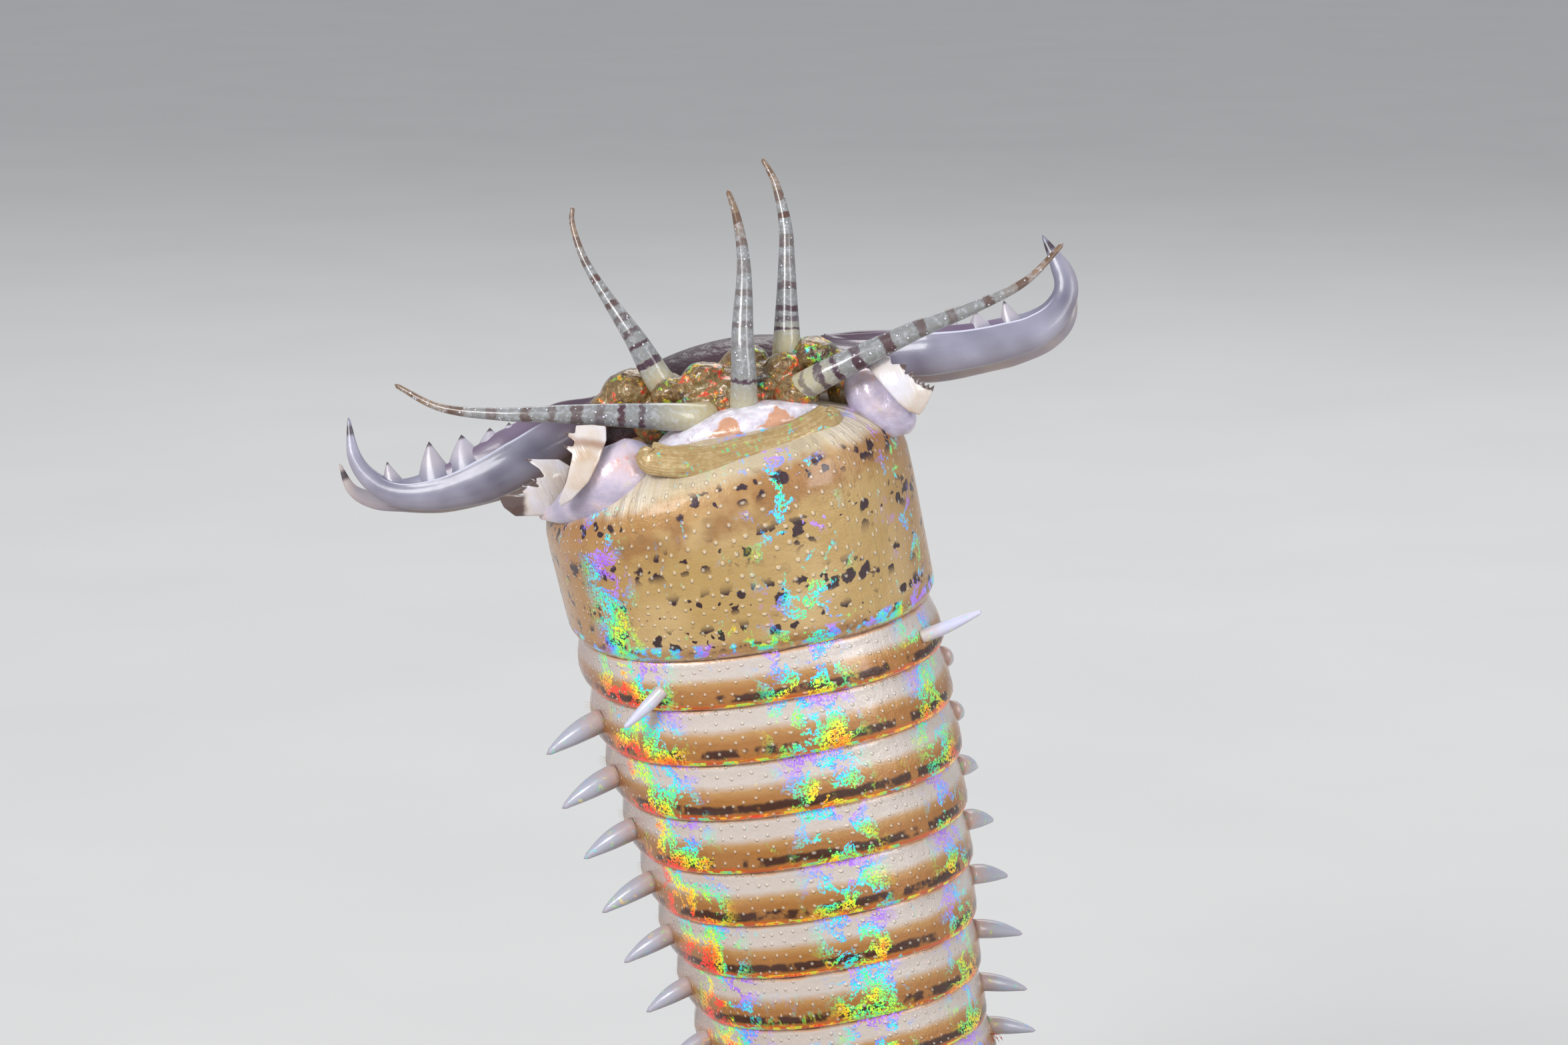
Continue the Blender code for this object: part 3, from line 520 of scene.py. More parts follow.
# The sheen's colours in their order, and where its three columns run, in degrees from the back
RAINBOW = [
    (0.0, (0.30, 0.10, 0.75)), (0.14, (0.45, 0.22, 0.9)), (0.26, (0.06, 0.25, 1.0)),
    (0.36, (0.03, 0.7, 0.95)), (0.48, (0.03, 0.8, 0.3)), (0.58, (0.3, 0.85, 0.06)),
    (0.68, (0.95, 0.75, 0.03)), (0.8, (1.0, 0.28, 0.02)), (0.92, (0.9, 0.04, 0.02)),
]
LEFT_SHEEN = -55.0
MIDDLE_SHEEN = 2.0
RIGHT_SHEEN = 48.0


def skin_finish(colours):
    """Make the worm's skin: pale and bronze rings with painted groove shade, dark dashes, dots and rainbow
    patches of painted sheen.
    """
    finish = Finish("worm_skin")
    band = finish.band
    cloud = finish.cloud
    step = finish.step
    vector = finish.vector
    place = finish.object_mm()
    around, ring = finish.uv()
    degrees = (around - 0.5) * 360.0
    turned = finish.maths("ABSOLUTE", degrees)
    phase = finish.maths("FRACT", ring)
    number = finish.maths("FLOOR", ring)
    first_ring = 1 - step(ring, 0.985, 0.995)
    fine = cloud(place, 1.4, 3.0)
    waver = fine - 0.5
    shifted = phase + (cloud(place, 0.5) - 0.5) * 0.1

    # Each segment from its front edge to its rear lip
    dash = step(cloud(vector(degrees * 0.05, number * 7.3), 1.0, 3.0, 0.6) + waver * 0.3, 0.4, 0.47)
    dash = dash * band(shifted + waver * 0.1, 0.7, 0.85, 0.03)
    glow = band(shifted, 0.86, 0.955, 0.02) * step(turned, 16.0, 44.0)
    # The ramp's near-black ends are painted shade in the grooves between segments.
    segment = finish.ramp(shifted, [
        (0.0, (0.16, 0.06, 0.03)), (0.03, (0.62, 0.36, 0.20)), (0.075, colours.pale),
        (0.34, colours.pale), (0.47, colours.ochre), (0.6, colours.bronze), (0.84, colours.bronze),
        (0.9, (0.50, 0.15, 0.03)), (0.935, (0.66, 0.10, 0.02)), (0.96, (0.80, 0.42, 0.22)),
        (0.985, (0.40, 0.2, 0.1)), (1.0, (0.03, 0.01, 0.008)),
    ])
    segment = finish.layered(
        segment,
        (glow * 0.6, (0.72, 0.06, 0.012)),
        (dash * 0.96, colours.dark),
        (step(turned, 55.0, 100.0) * 0.55, (0.24, 0.075, 0.04)),
        (step(turned, 118.0, 150.0) * 0.7, (0.42, 0.22, 0.15)),
    )

    # The first ring, with its brown shoulder and its rows of spots
    shoulder = band(ring + degrees * 0.0016 + waver * 0.12, 0.24, 0.4, 0.06)
    shoulder = shoulder * step(cloud(place, 0.3, 3.0), 0.36, 0.56)
    shoulder = shoulder | band(degrees, 24, 66, 14) * band(ring, 0.2, 0.34, 0.05) * 0.8
    warp = cloud(place, 0.9, output="Color")
    warped = finish.node("ShaderNodeVectorMath", {"operation": "ADD"}, {0: place, 1: warp})
    size = finish.axis(finish.cells(warped, 0.8, "Color"), 0)
    rows = 0.1
    for low, high in ((0.2, 0.3), (0.42, 0.52), (0.62, 0.74), (0.81, 0.93)):
        rows = rows + band(ring, low, high, 0.03)
    spots = 1 - step(finish.cells(warped, 0.8) / (size * 0.56 + 0.02 + waver * 0.9), 0.75, 0.95)
    spots = spots * finish.maths("MINIMUM", rows, 1.0)
    # The ramp's near-black end is painted shade in the groove behind the first ring.
    tan = finish.ramp(ring + waver * 0.06, [
        (0.0, (0.50, 0.41, 0.29)), (0.16, (0.47, 0.39, 0.26)), (0.22, (0.36, 0.19, 0.06)),
        (0.29, (0.40, 0.22, 0.07)), (0.36, colours.tan), (0.88, colours.tan),
        (0.94, (0.28, 0.12, 0.03)), (0.975, (0.60, 0.32, 0.12)), (1.0, (0.05, 0.02, 0.012)),
    ])
    tan = finish.layered(
        tan,
        (step(cloud(place, 0.16), 0.42, 0.66) * 0.4, (0.62, 0.46, 0.25)),
        (shoulder * 0.75, (0.25, 0.105, 0.026)),
        (step(turned, 28.0, 85.0) * 0.7, (0.38, 0.16, 0.045)),
        (spots * 0.97, (0.022, 0.006, 0.016)),
    )

    # The rainbow sheen, in three columns along the back and scattered beside them
    grain = cloud(place, 5.5, 3.0, 0.65)
    streaks = cloud(vector(around * 190.0, ring * 3.2, number), 1.0, 2.0, 0.6)
    patches = cloud(place, 0.62, 4.0, 0.6, 0.5)
    tight = first_ring * 6.0
    columns = (
        band(degrees, LEFT_SHEEN - 18 + tight * 2, LEFT_SHEEN + 16 - tight, 7)
        + band(degrees, MIDDLE_SHEEN - 9 + tight, MIDDLE_SHEEN + 11 + tight, 6)
        + band(degrees, RIGHT_SHEEN - 10 + tight, RIGHT_SHEEN + 12, 6) * 0.8
    )
    left = band(degrees, LEFT_SHEEN - 14, LEFT_SHEEN + 8, 5) * band(ring, 0.36, 1.0, 0.03) * first_ring
    covered = step(patches - first_ring * 0.065 + left * 0.115, 0.48, 0.52)
    # Slanted streaks of painted sheen across the first ring.
    slanted = vector(degrees * 0.22 + ring * 9.0, ring * 3.0 - degrees * 0.012)
    diagonal_sheen = step(cloud(slanted, 1.0, 3.0, 0.6), 0.6, 0.66) * first_ring
    scatter = step(streaks, 0.58, 0.66) * step(grain, 0.5, 0.55) | diagonal_sheen * step(grain, 0.47, 0.53)
    fringe = step(streaks, 0.5, 0.56) * band(degrees, -84, -14, 8) * band(phase, 0.3, 0.86, 0.06)
    lip = band(phase, 0.9, 0.975, 0.012) * step(cloud(place, 0.9), 0.48, 0.56)
    sheen = (
        columns * covered * step(grain, 0.45, 0.49)
        | scatter * step(patches, 0.52, 0.62) * 0.6
        | fringe * step(ring, 7.0, 9.0) * step(patches, 0.4, 0.5)
        | lip * 0.8
    )
    sheen = sheen * (1 - step(turned, 112.0, 128.0)) * (1 - step(ring, 12.0, 30.0) * 0.35)
    hue = 0.06 + phase * (0.62 - first_ring * 0.35) + (cloud(place, 0.3, 1.0) - 0.5) * 1.3
    hue = hue + (patches - 0.5) * 0.9 + (grain - 0.5) * 0.8
    hue = hue + band(degrees, -95.0, LEFT_SHEEN, 8) * (0.34 - first_ring * 0.3)
    rainbow = finish.ramp(hue, RAINBOW)

    # Wrinkles, the pleated rim and the rows of fine dots
    wrinkles = cloud(vector(around * 110.0, ring * 0.9, number), 1.0, 3.0, 0.6)
    rim = first_ring * (1 - step(ring, 0.14, 0.3))
    pleats = cloud(vector(around * 62.0, ring * 1.5), 1.0, 3.0, 0.55) * rim
    pleats = pleats * (band(turned, 26.0, 100.0, 10) * 0.8 + 0.2)
    dot_place = vector(around * 84.0, ring * (first_ring * 10.1 + 4.45))
    dots = 1 - step(finish.cells(dot_place, 1.0, uneven=0.55, space="2D"), 0.07, 0.17)
    base = finish.layered(
        finish.blend(first_ring, segment, tan),
        (dots * 0.42, (0.82, 0.72, 0.58)),
        (sheen * 0.95, rainbow),
        (step(pleats, 0.2, 0.55) * 0.7, (0.60, 0.54, 0.45)),
    )
    rough = 0.15 + fine * 0.14 - sheen * 0.04 + first_ring * 0.1 + rim * 0.15
    height = wrinkles * 0.45 + fine * 0.4 + grain * 0.25 + pleats * 3.4 + dots * 0.5
    # The sheen's rainbow also feeds a faint emission, a painted glow.
    return finish.surface(base, rough, finish.bump(height, 0.22, 0.8), {
        "Metallic": 0.1 + sheen * 0.2, "Coat Weight": 0.45 - rim * 0.38, "Coat Roughness": 0.12,
        "Emission Color": finish.blend(sheen, (0, 0, 0), rainbow), "Emission Strength": 0.3, "IOR": 1.42,
    })


def head_finish(colours):
    """Make the golden skin of the head lobe, with painted rainbow glints."""
    finish = Finish("golden_skin")
    place = finish.picture_mm()
    wide = finish.cloud(place, 0.45, 3.0)
    fine = finish.cloud(place, 2.6, 4.0, 0.6)
    base = finish.ramp(wide + (fine - 0.5) * 0.7, [
        (0.28, (0.045, 0.02, 0.01)), (0.42, (0.14, 0.07, 0.02)), (0.55, colours.gold),
        (0.7, (0.25, 0.19, 0.08)), (0.86, (0.42, 0.38, 0.24)),
    ])
    # Painted rainbow glints, scattered over the gold.
    rainbow_glints = finish.step(finish.cloud(place, 1.1, 3.0, 0.6), 0.5, 0.6) * finish.step(fine, 0.46, 0.54)
    base = finish.blend(rainbow_glints * 0.8, base, finish.ramp(wide * 2.6 - 0.6 + (fine - 0.5) * 1.2, RAINBOW))
    height = fine * 0.7 + finish.cells(place, 2.4) * 0.7
    return finish.surface(base, 0.14 + fine * 0.2, finish.bump(height, 0.2, 0.9), {
        "Metallic": 0.15 + rainbow_glints * 0.4, "Coat Weight": 0.6, "Coat Roughness": 0.06,
    })


def collar_finish():
    """Make the golden collar with its fine lengthwise lines."""
    finish = Finish("collar_skin")
    place = finish.object_mm()
    around, along = finish.uv()
    folds = finish.cloud(finish.vector(along * 9.0, around * 26.0), 1.0, 3.0, 0.6)
    fine = finish.cloud(place, 3.0, 3.0)
    base = finish.ramp(folds * 0.6 + fine * 0.4, [
        (0.25, (0.25, 0.14, 0.05)), (0.5, (0.37, 0.25, 0.10)), (0.75, (0.52, 0.42, 0.27)),
    ])
    # Painted rainbow glints, scattered over the welt.
    rainbow_glints = finish.step(fine, 0.56, 0.64) * finish.step(finish.cloud(place, 0.7), 0.48, 0.6)
    # The darker band on the welt's inner side, where it meets the ring, is painted shade.
    base = finish.layered(
        base,
        (finish.band(around, 0.34, 0.66, 0.1) * 0.5, (0.30, 0.15, 0.05)),
        (rainbow_glints * 0.6, finish.ramp(folds * 1.4 - 0.2, RAINBOW)),
    )
    return finish.surface(base, 0.28 + fine * 0.15, finish.bump(folds, 0.16, 0.7), {
        "Metallic": 0.15 + rainbow_glints * 0.4, "Coat Weight": 0.5, "Coat Roughness": 0.15,
    })


def nuchal_finish(colours):
    """Make the white fold behind the feelers, with its two tan triangles."""
    finish = Finish("nuchal_white")
    place = finish.picture_mm()
    fine = finish.cloud(place, 1.6, 3.0)
    across = finish.axis(place, 0) + (fine - 0.5) * 0.9
    up = finish.axis(place, 1) + (finish.cloud(place, 0.9) - 0.5) * 0.9
    white = finish.ramp(fine, [(0.3, (0.50, 0.44, 0.52)), (0.5, colours.white), (0.8, (0.80, 0.78, 0.86))])
    marks = (
        finish.triangle(across, up, ((-5.6, 6.0), (-2.6, 6.3), (-4.0, 7.9)))
        | finish.triangle(across, up, ((-2.1, 6.5), (1.1, 7.4), (-0.5, 8.6)))
    )
    lower = finish.band(up - across * 0.23 + (fine - 0.5) * 0.2, 6.35, 6.45, 0.08)
    base = finish.layered(white, (marks * 0.9, (0.52, 0.24, 0.11)), (lower * 0.5, (0.22, 0.10, 0.16)))
    return finish.surface(base, 0.22 + fine * 0.15, finish.bump(fine, 0.25, 0.6), {
        "Coat Weight": 0.6, "Subsurface Weight": 0.15, "Subsurface Scale": 0.002,
    })


def feeler_finish(colours, name, bands):
    """Make a feeler's translucent grey, with dark rings at shares of its length and white specks."""
    finish = Finish(name)
    place = finish.object_mm()
    along = finish.uv()[1]
    fine = finish.cloud(place, 3.0, 3.0)
    ragged = along + (finish.cloud(place, 2.0, 3.0, 0.6) - 0.5) * 0.035
    rings = 0.0
    for middle, width, strength in bands:
        rings = finish.band(ragged, middle - width / 2, middle + width / 2, 0.0035) * strength | rings
    shaft = finish.ramp(along, [
        (0.0, (0.46, 0.36, 0.16)), (0.1, (0.44, 0.40, 0.26)), (0.22, colours.feeler),
        (0.72, colours.feeler), (0.88, (0.22, 0.15, 0.10)), (1.0, (0.16, 0.10, 0.06)),
    ])
    dark = finish.ramp(along, [
        (0.0, (0.045, 0.02, 0.05)), (0.45, (0.07, 0.03, 0.03)), (1.0, (0.10, 0.045, 0.02)),
    ])
    specks = (1 - finish.step(finish.cells(place, 2.1), 0.14, 0.22)) * finish.step(along, 0.12, 0.3)
    base = finish.layered(
        shaft,
        (finish.step(fine, 0.45, 0.7) * 0.35, (0.50, 0.53, 0.60)),
        (rings * (0.45 + finish.cloud(place, 0.8)), dark),
        (specks * 0.75, (0.72, 0.74, 0.80)),
    )
    return finish.surface(base, 0.22 + fine * 0.2, finish.bump(specks * 1.4 + fine * 0.4, 0.1, 0.8), {
        "Coat Weight": 0.5, "Subsurface Weight": 0.12, "Subsurface Scale": 0.001, "IOR": 1.4,
    })


def cirrus_finish(name, root, tip):
    """Make a translucent outgrowth's skin, coloured from root to tip."""
    finish = Finish(name)
    place = finish.object_mm()
    fine = finish.cloud(place, 1.8, 3.0)
    base = finish.ramp(finish.uv()[1] + (fine - 0.5) * 0.3, [(0.0, root), (0.45, tip), (1.0, tip)])
    glint = finish.step(finish.cloud(place, 2.2, 3.0, 0.6), 0.58, 0.68)
    base = finish.blend(glint * 0.45, base, finish.ramp(finish.cloud(place, 0.8) * 1.4 - 0.2, RAINBOW))
    return finish.surface(base, 0.3 + fine * 0.15, finish.bump(fine, 0.08, 0.6), {
        "Coat Weight": 0.4, "Subsurface Weight": 0.35, "Subsurface Scale": 0.0012,
    })


def jaw_finish(name, dark, middle, light):
    """Make the satin of a jaw from its three tones, dark at root and tips, with painted highlights at the
    ridge and the lower edge.
    """
    finish = Finish(name)
    step = finish.step
    place = finish.object_mm()
    around, along = finish.uv()
    wide = finish.cloud(place, 0.22)
    fine = finish.cloud(place, 2.2, 4.0, 0.6)
    on_tooth = step(around, 1.2, 1.3)
    on_limb = 1 - on_tooth
    # Painted shade darkening the groove between the ridge and the far wall.
    groove_shade = finish.band(around, 0.4, 0.56, 0.015) * (1 - step(along, 0.5, 0.66)) * on_limb
    tip = finish.band(along, 0.945, 0.975, 0.008) * on_limb | on_tooth * step(along, 0.84, 0.92)
    # A painted highlight along the ridge.
    ridge = finish.band(around, 0.366, 0.386, 0.004) * (1 - step(along, 0.68, 0.8)) * on_limb
    base = finish.layered(
        finish.ramp(wide, [(0.3, dark), (0.5, middle), (0.72, light)]),
        # The lighter lower edge is a painted highlight.
        ((1 - step(around, 0.06, 0.26)) * on_limb * 0.35, (0.34, 0.30, 0.33)),
        (groove_shade * 0.8, (0.13, 0.08, 0.14)),
        ((1 - step(along, 0.12, 0.3)) * on_limb * 0.85, (0.07, 0.04, 0.06)),
        (on_tooth * step(along, 0.1, 0.6) * 0.45, (0.56, 0.50, 0.52)),
        (tip * 0.9, (0.035, 0.02, 0.03)),
        (ridge * step(along, 0.2, 0.3) * 0.75, (0.74, 0.74, 0.88)),
    )
    return finish.surface(base, 0.3 + fine * 0.14, finish.bump(fine + wide, 0.04, 0.5), {
        "Coat Weight": 0.3, "Coat Roughness": 0.12, "IOR": 1.45,
    })


def plate_finish(colours):
    """Make the ivory of the toothed plates, brown at the teeth, with a painted brown shadow band across the
    left plates.
    """
    finish = Finish("plate_ivory")
    step = finish.step
    place = finish.picture_mm()
    across = finish.axis(place, 0)
    up = finish.axis(place, 1)
    dark = finish.node("ShaderNodeAttribute", {"attribute_name": DARK}, output="Fac")
    fine = finish.cloud(place, 1.8, 3.0)
    wide = finish.cloud(place, 0.35)
    base = finish.ramp(wide, [(0.3, (0.50, 0.38, 0.28)), (0.48, colours.ivory), (0.7, (0.62, 0.62, 0.72))])
    # A brown band across the left plates, a painted shadow.
    painted_shadow_band = finish.band(up + across * 0.16 + (wide - 0.5) * 1.4, 3.0, 3.7, 0.3)
    painted_shadow_band = painted_shadow_band * (1 - step(across, 0.0, 1.0))
    low_corner = (1 - step(across + (fine - 0.5) * 0.5, -19.1, -18.5)) * (1 - step(up, 1.8, 2.3))
    edge = step(dark + (fine - 0.5) * 0.3, 0.36, 0.56) | low_corner
    base = finish.layered(base, (painted_shadow_band * 0.7, (0.24, 0.11, 0.05)), (edge * 0.93, (0.05, 0.02, 0.02)))
    ribs = finish.cloud(finish.vector(across * 2.6 + up * 1.2, up * 0.3), 1.0)
    return finish.surface(base, 0.2 + fine * 0.12, finish.bump(ribs + fine * 0.3, 0.14, 0.6), {
        "Coat Weight": 0.6, "Subsurface Weight": 0.1, "Subsurface Scale": 0.001,
    })


def pad_finish(colours):
    """Make the pearly lilac of the soft pads beside the jaws."""
    finish = Finish("pad_pearl")
    place = finish.object_mm()
    wide = finish.cloud(place, 0.3, 3.0)
    fine = finish.cloud(place, 2.4, 3.0)
    base = finish.ramp(wide, [
        (0.3, (0.36, 0.30, 0.42)), (0.46, colours.pearl), (0.58, (0.60, 0.50, 0.58)),
        (0.72, (0.62, 0.40, 0.34)),
    ])
    glint = finish.step(fine, 0.6, 0.68) * finish.step(wide, 0.5, 0.6)
    base = finish.blend(glint * 0.3, base, finish.ramp(wide * 2.4 - 0.7, RAINBOW))
    return finish.surface(base, 0.2 + fine * 0.16, finish.bump(fine + wide, 0.12, 0.5), {
        "Metallic": 0.1 + glint * 0.2, "Coat Weight": 0.4, "Coat Roughness": 0.2,
    })


def plain_finish(name, colour, grain, rough, bump, shade=0.72):
    """Make a simple surface with a fine grain of colour and height."""
    finish = Finish(name)
    fine = finish.cloud(finish.object_mm(), grain, 3.0)
    base = finish.ramp(fine, [(0.3, [part * shade for part in colour]), (0.65, colour)])
    return finish.surface(base, rough + fine * 0.12, finish.bump(fine, bump))


# Modelling

def bent_grid(columns, rows, place, mark=None):
    """Return a grid whose corners are moved to place(around, along), both running from 0 to 1."""
    mesh = bmesh.new()
    bmesh.ops.create_grid(mesh, x_segments=columns, y_segments=rows, size=1)
    layer = mesh.loops.layers.uv.new(UV)
    for face in mesh.faces:
        for loop in face.loops:
            around = (loop.vert.co.x + 1) / 2
            along = (loop.vert.co.y + 1) / 2
            loop[layer].uv = mark(around, along) if mark else (around, along)
    for vert in mesh.verts:
        vert.co = place((vert.co.x + 1) / 2, (vert.co.y + 1) / 2)
    bmesh.ops.remove_doubles(mesh, verts=mesh.verts, dist=DOUBLES)
    bmesh.ops.recalc_face_normals(mesh, faces=mesh.faces)
    return mesh


def mesh_data(mesh, name="part"):
    """Return a bmesh's data, and free the bmesh."""
    data = bpy.data.meshes.new(name)
    mesh.to_mesh(data)
    mesh.free()
    return data


def add_object(name, data):
    """Return a new object in the scene."""
    made = bpy.data.objects.new(name, data)
    bpy.context.scene.collection.objects.link(made)
    return made


def add_piece(name, mesh, finish, slot, *solids):
    """Turn a bmesh into a smooth piece that rides with the worm in place of some solids."""
    data = mesh_data(mesh, name)
    data.materials.append(finish)
    for polygon in data.polygons:
        polygon.use_smooth = True
    piece = add_object(name, data)
    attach(piece, "root")
    if solids:
        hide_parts(*solids)
    return piece


def joined(parts):
    """Return the meshes in a list of mesh data as one bmesh, and remove the data."""
    whole = bmesh.new()
    whole.loops.layers.uv.new(UV)
    for data in parts:
        whole.from_mesh(data)
        bpy.data.meshes.remove(data)
    return whole


def scattered(shape, places):
    """Return copies of a bmesh shape, one for each matrix."""
    data = mesh_data(shape)
    copies = []
    for matrix in places:
        copies.append(data.copy())
        copies[-1].transform(matrix)
    bpy.data.meshes.remove(data)
    return joined(copies)


def melted(shapes, voxel_mm, smoothing):
    """Return several bmeshes grown into one soft form."""
    piece = add_object("melted", mesh_data(joined([mesh_data(shape) for shape in shapes])))
    remesh = piece.modifiers.new("Remesh", "REMESH")
    remesh.mode = "VOXEL"
    remesh.voxel_size = voxel_mm * MM
    soft = bmesh.new()
    soft.from_mesh(piece.evaluated_get(bpy.context.evaluated_depsgraph_get()).to_mesh())
    bpy.data.meshes.remove(piece.data)
    axes = {"use_axis_x": True, "use_axis_y": True, "use_axis_z": True}
    for _ in range(smoothing):
        bmesh.ops.smooth_vert(soft, verts=soft.verts, factor=0.5, **axes)
    return soft


def crinkled(mesh, depth_mm, scale):
    """Return the mesh with soft crinkles of a depth and a number per millimetre."""
    mesh.normal_update()
    for vert in mesh.verts:
        place = vert.co / MM * scale
        vert.co += vert.normal * (depth_mm * MM * (chance(*place) + 0.5 * chance(*(place * 2.3))))
    return mesh


def ball(centre, radii, lean, columns=32, rows=20):
    """Return an egg shape on the picture plane, its radii across, up and towards in millimetres."""
    mesh = bmesh.new()
    bmesh.ops.create_uvsphere(mesh, u_segments=columns, v_segments=rows, radius=1, calc_uvs=True)
    bmesh.ops.scale(mesh, vec=Vector((radii[0], radii[2], radii[1])) * MM, verts=mesh.verts)
    across = ACROSS * math.cos(lean) + UP * math.sin(lean)
    up = UP * math.cos(lean) - ACROSS * math.sin(lean)
    turn = Matrix((across, -TOWARDS, up)).transposed().to_4x4()
    bmesh.ops.transform(mesh, matrix=Matrix.Translation(at(*centre)) @ turn, verts=mesh.verts)
    return mesh


def curve_through(places, count):
    """Return points evenly spread on a smooth curve through places on the picture plane."""
    points = [Vector(place) for place in places]
    ends = [points[0] * 2 - points[1]] + points + [points[-1] * 2 - points[-2]]
    fine = []
    for before, start, end, after in zip(ends, ends[1:], ends[2:], ends[3:]):
        handles = (start + (end - before) / 6, end - (after - start) / 6)
        fine += interpolate_bezier(start, *handles, end, CURVE_STEPS)[:-1]
    fine.append(points[-1])
    lengths = lengths_along(fine)
    return [point_along(fine, lengths, lengths[-1] * index / (count - 1)) for index in range(count)]


def limb(places, radii, rows, columns, flat=1.0, shape=None, mirrored=False):
    """Return a closed tapered limb along a curve on the picture plane, its section shaped if asked."""
    line = curve_through(places, rows + 1)
    table = [(index / (len(radii) - 1), radius) for index, radius in enumerate(radii)]

    def place(around, along):
        index = round(along * rows)
        ahead = line[min(index + 1, rows)] - line[max(index - 1, 0)]
        first = Vector((-ahead.y, ahead.x, 0)).normalized()
        second = ahead.normalized().cross(first)
        angle = math.pi - math.tau * around if mirrored else math.tau * around
        radius = 0.0 if index in (0, rows) else table_value(table, along)
        if shape:
            radius *= shape(around, along)
        offset = first * (radius * math.cos(angle)) + second * (radius * flat * math.sin(angle))
        return at(*(line[index] + offset))

    return bent_grid(columns, rows, place)


def spindle(columns, rows, curl, blunt, swell=0.0):
    """Return a tapered thread of length 1 along Z and root radius 1, bent towards X by curl."""
    def place(around, along):
        angle = math.tau * around
        taper = mix(1.0, blunt, along) + swell * math.sin(math.pi * along)
        if along in (0.0, 1.0):
            taper = 0.0
        return Vector((taper * math.cos(angle), taper * math.sin(angle), along))

    mesh = bent_grid(columns, rows, place)
    for vert in mesh.verts:
        vert.co.x += curl * vert.co.z ** 2
    return mesh


def standing(root, way, lean, length, radius):
    """Return the matrix that puts a thread's root at a place and points it along a way."""
    axis = way.normalized()
    first = square_to(axis, lean)
    second = axis.cross(first)
    turn = Matrix((first * radius, second * radius, axis * length)).transposed().to_4x4()
    return Matrix.Translation(root) @ turn


def ring_starts():
    """Return where each segment behind the second ring starts, and the end of the last."""
    starts = [SECOND_RING_END + SEGMENT * index for index in range(FRONT_SEGMENTS)]
    place = SECOND_RING_END + SEGMENT * FRONT_SEGMENTS
    while place < BODY_LENGTH - TAIL_MARGIN:
        ring = half_width(place) * RING_TO_WIDTH
        starts += [place + ring * index / SEGMENTS_PER_RING for index in range(SEGMENTS_PER_RING)]
        place += ring
    return starts + [place]


STARTS = ring_starts()
BODY_END = STARTS[-1]


def segment_profile(phase):
    """Return how far the skin stands out at a share of a segment's length, up to its rear lip."""
    rise = 0.936 + 0.016 * smooth(phase / 0.05) + 0.046 * smooth(phase / 0.9)
    return rise - 0.014 * smooth((phase - 0.88) / 0.09) - 0.046 * smooth((phase - 0.965) / 0.035)


def skin_rows():
    """Return every cross row of the skin as distance, width share and ring count."""
    rows = [(DOME_TOP, 0.0)]
    for index in range(1, DOME_ROWS + 1):
        turn = math.pi / 2 * (1 - index / DOME_ROWS)
        place = DOME_FOOT - (DOME_FOOT - DOME_TOP) * math.sin(turn) ** (2 / 3)
        rows.append((place, max(math.cos(turn), 0.0) ** (2 / 3)))
    for place in FIRST_RING_PLACES_MM:
        rows.append((place * MM, 1.0 - 0.045 * smooth((place - FIRST_LIP_MM) / 0.9)))
    length = FIRST_RING_END - DOME_TOP
    rows = [(place, scale, (place - DOME_TOP) / length) for place, scale in rows]
    starts = [FIRST_RING_END] + STARTS
    for number, (start, end) in enumerate(zip(starts, starts[1:])):
        for phase in FRONT_PHASES if number <= FRONT_SEGMENTS else BODY_PHASES:
            rows.append((mix(start, end, phase), segment_profile(phase), number + 1 + phase))
    for share, scale in TAIL_ROWS:
        rows.append((BODY_END + TAIL_LENGTH * share, scale, len(starts) + share * 0.9))
    return rows


def lobe(distance, degrees, ring):
    """Return how far the side lobes and the belly's furrow shift the skin, as a share of its width."""
    if distance <= FIRST_RING_END:
        return 0.0
    height = mix(LOBE_FRONT, LOBE_REAR, smooth((distance - LOBE_GROWS_FROM) / LOBE_GROWS_OVER))
    swell = math.sin(math.pi * (ring % 1)) ** 1.3 * bell(abs(degrees), LOBE_DEGREES, LOBE_REACH)
    return height * swell - FURROW * bell(abs(degrees), 180, FURROW_REACH)


def skin_mesh(sides):
    """Return the whole skin, closed at the head's rim and at the tail."""
    rows = skin_rows()
    last = len(rows) - 1

    def place(around, along):
        distance, scale, ring = rows[round(along * last)]
        angle = math.tau * (around - 0.5)
        degrees = math.degrees(angle)
        if scale:
            scale *= 1 + UNEVENNESS * chance(ring * 0.9, math.cos(angle), math.sin(angle))
            scale += lobe(distance, degrees, ring)
        rise = RIM_RISE * max(math.cos(angle), 0) * smooth((RIM_END - distance) / RIM_FADE)
        return skin_point(distance - rise, angle, scale)

    return bent_grid(sides, last, place, lambda around, along: (around, rows[round(along * last)][2]))


def outward_at(distance, angle):
    """Return the direction straight out of the skin."""
    return (skin_point(distance, angle, 2) - skin_point(distance, angle, 1)).normalized()


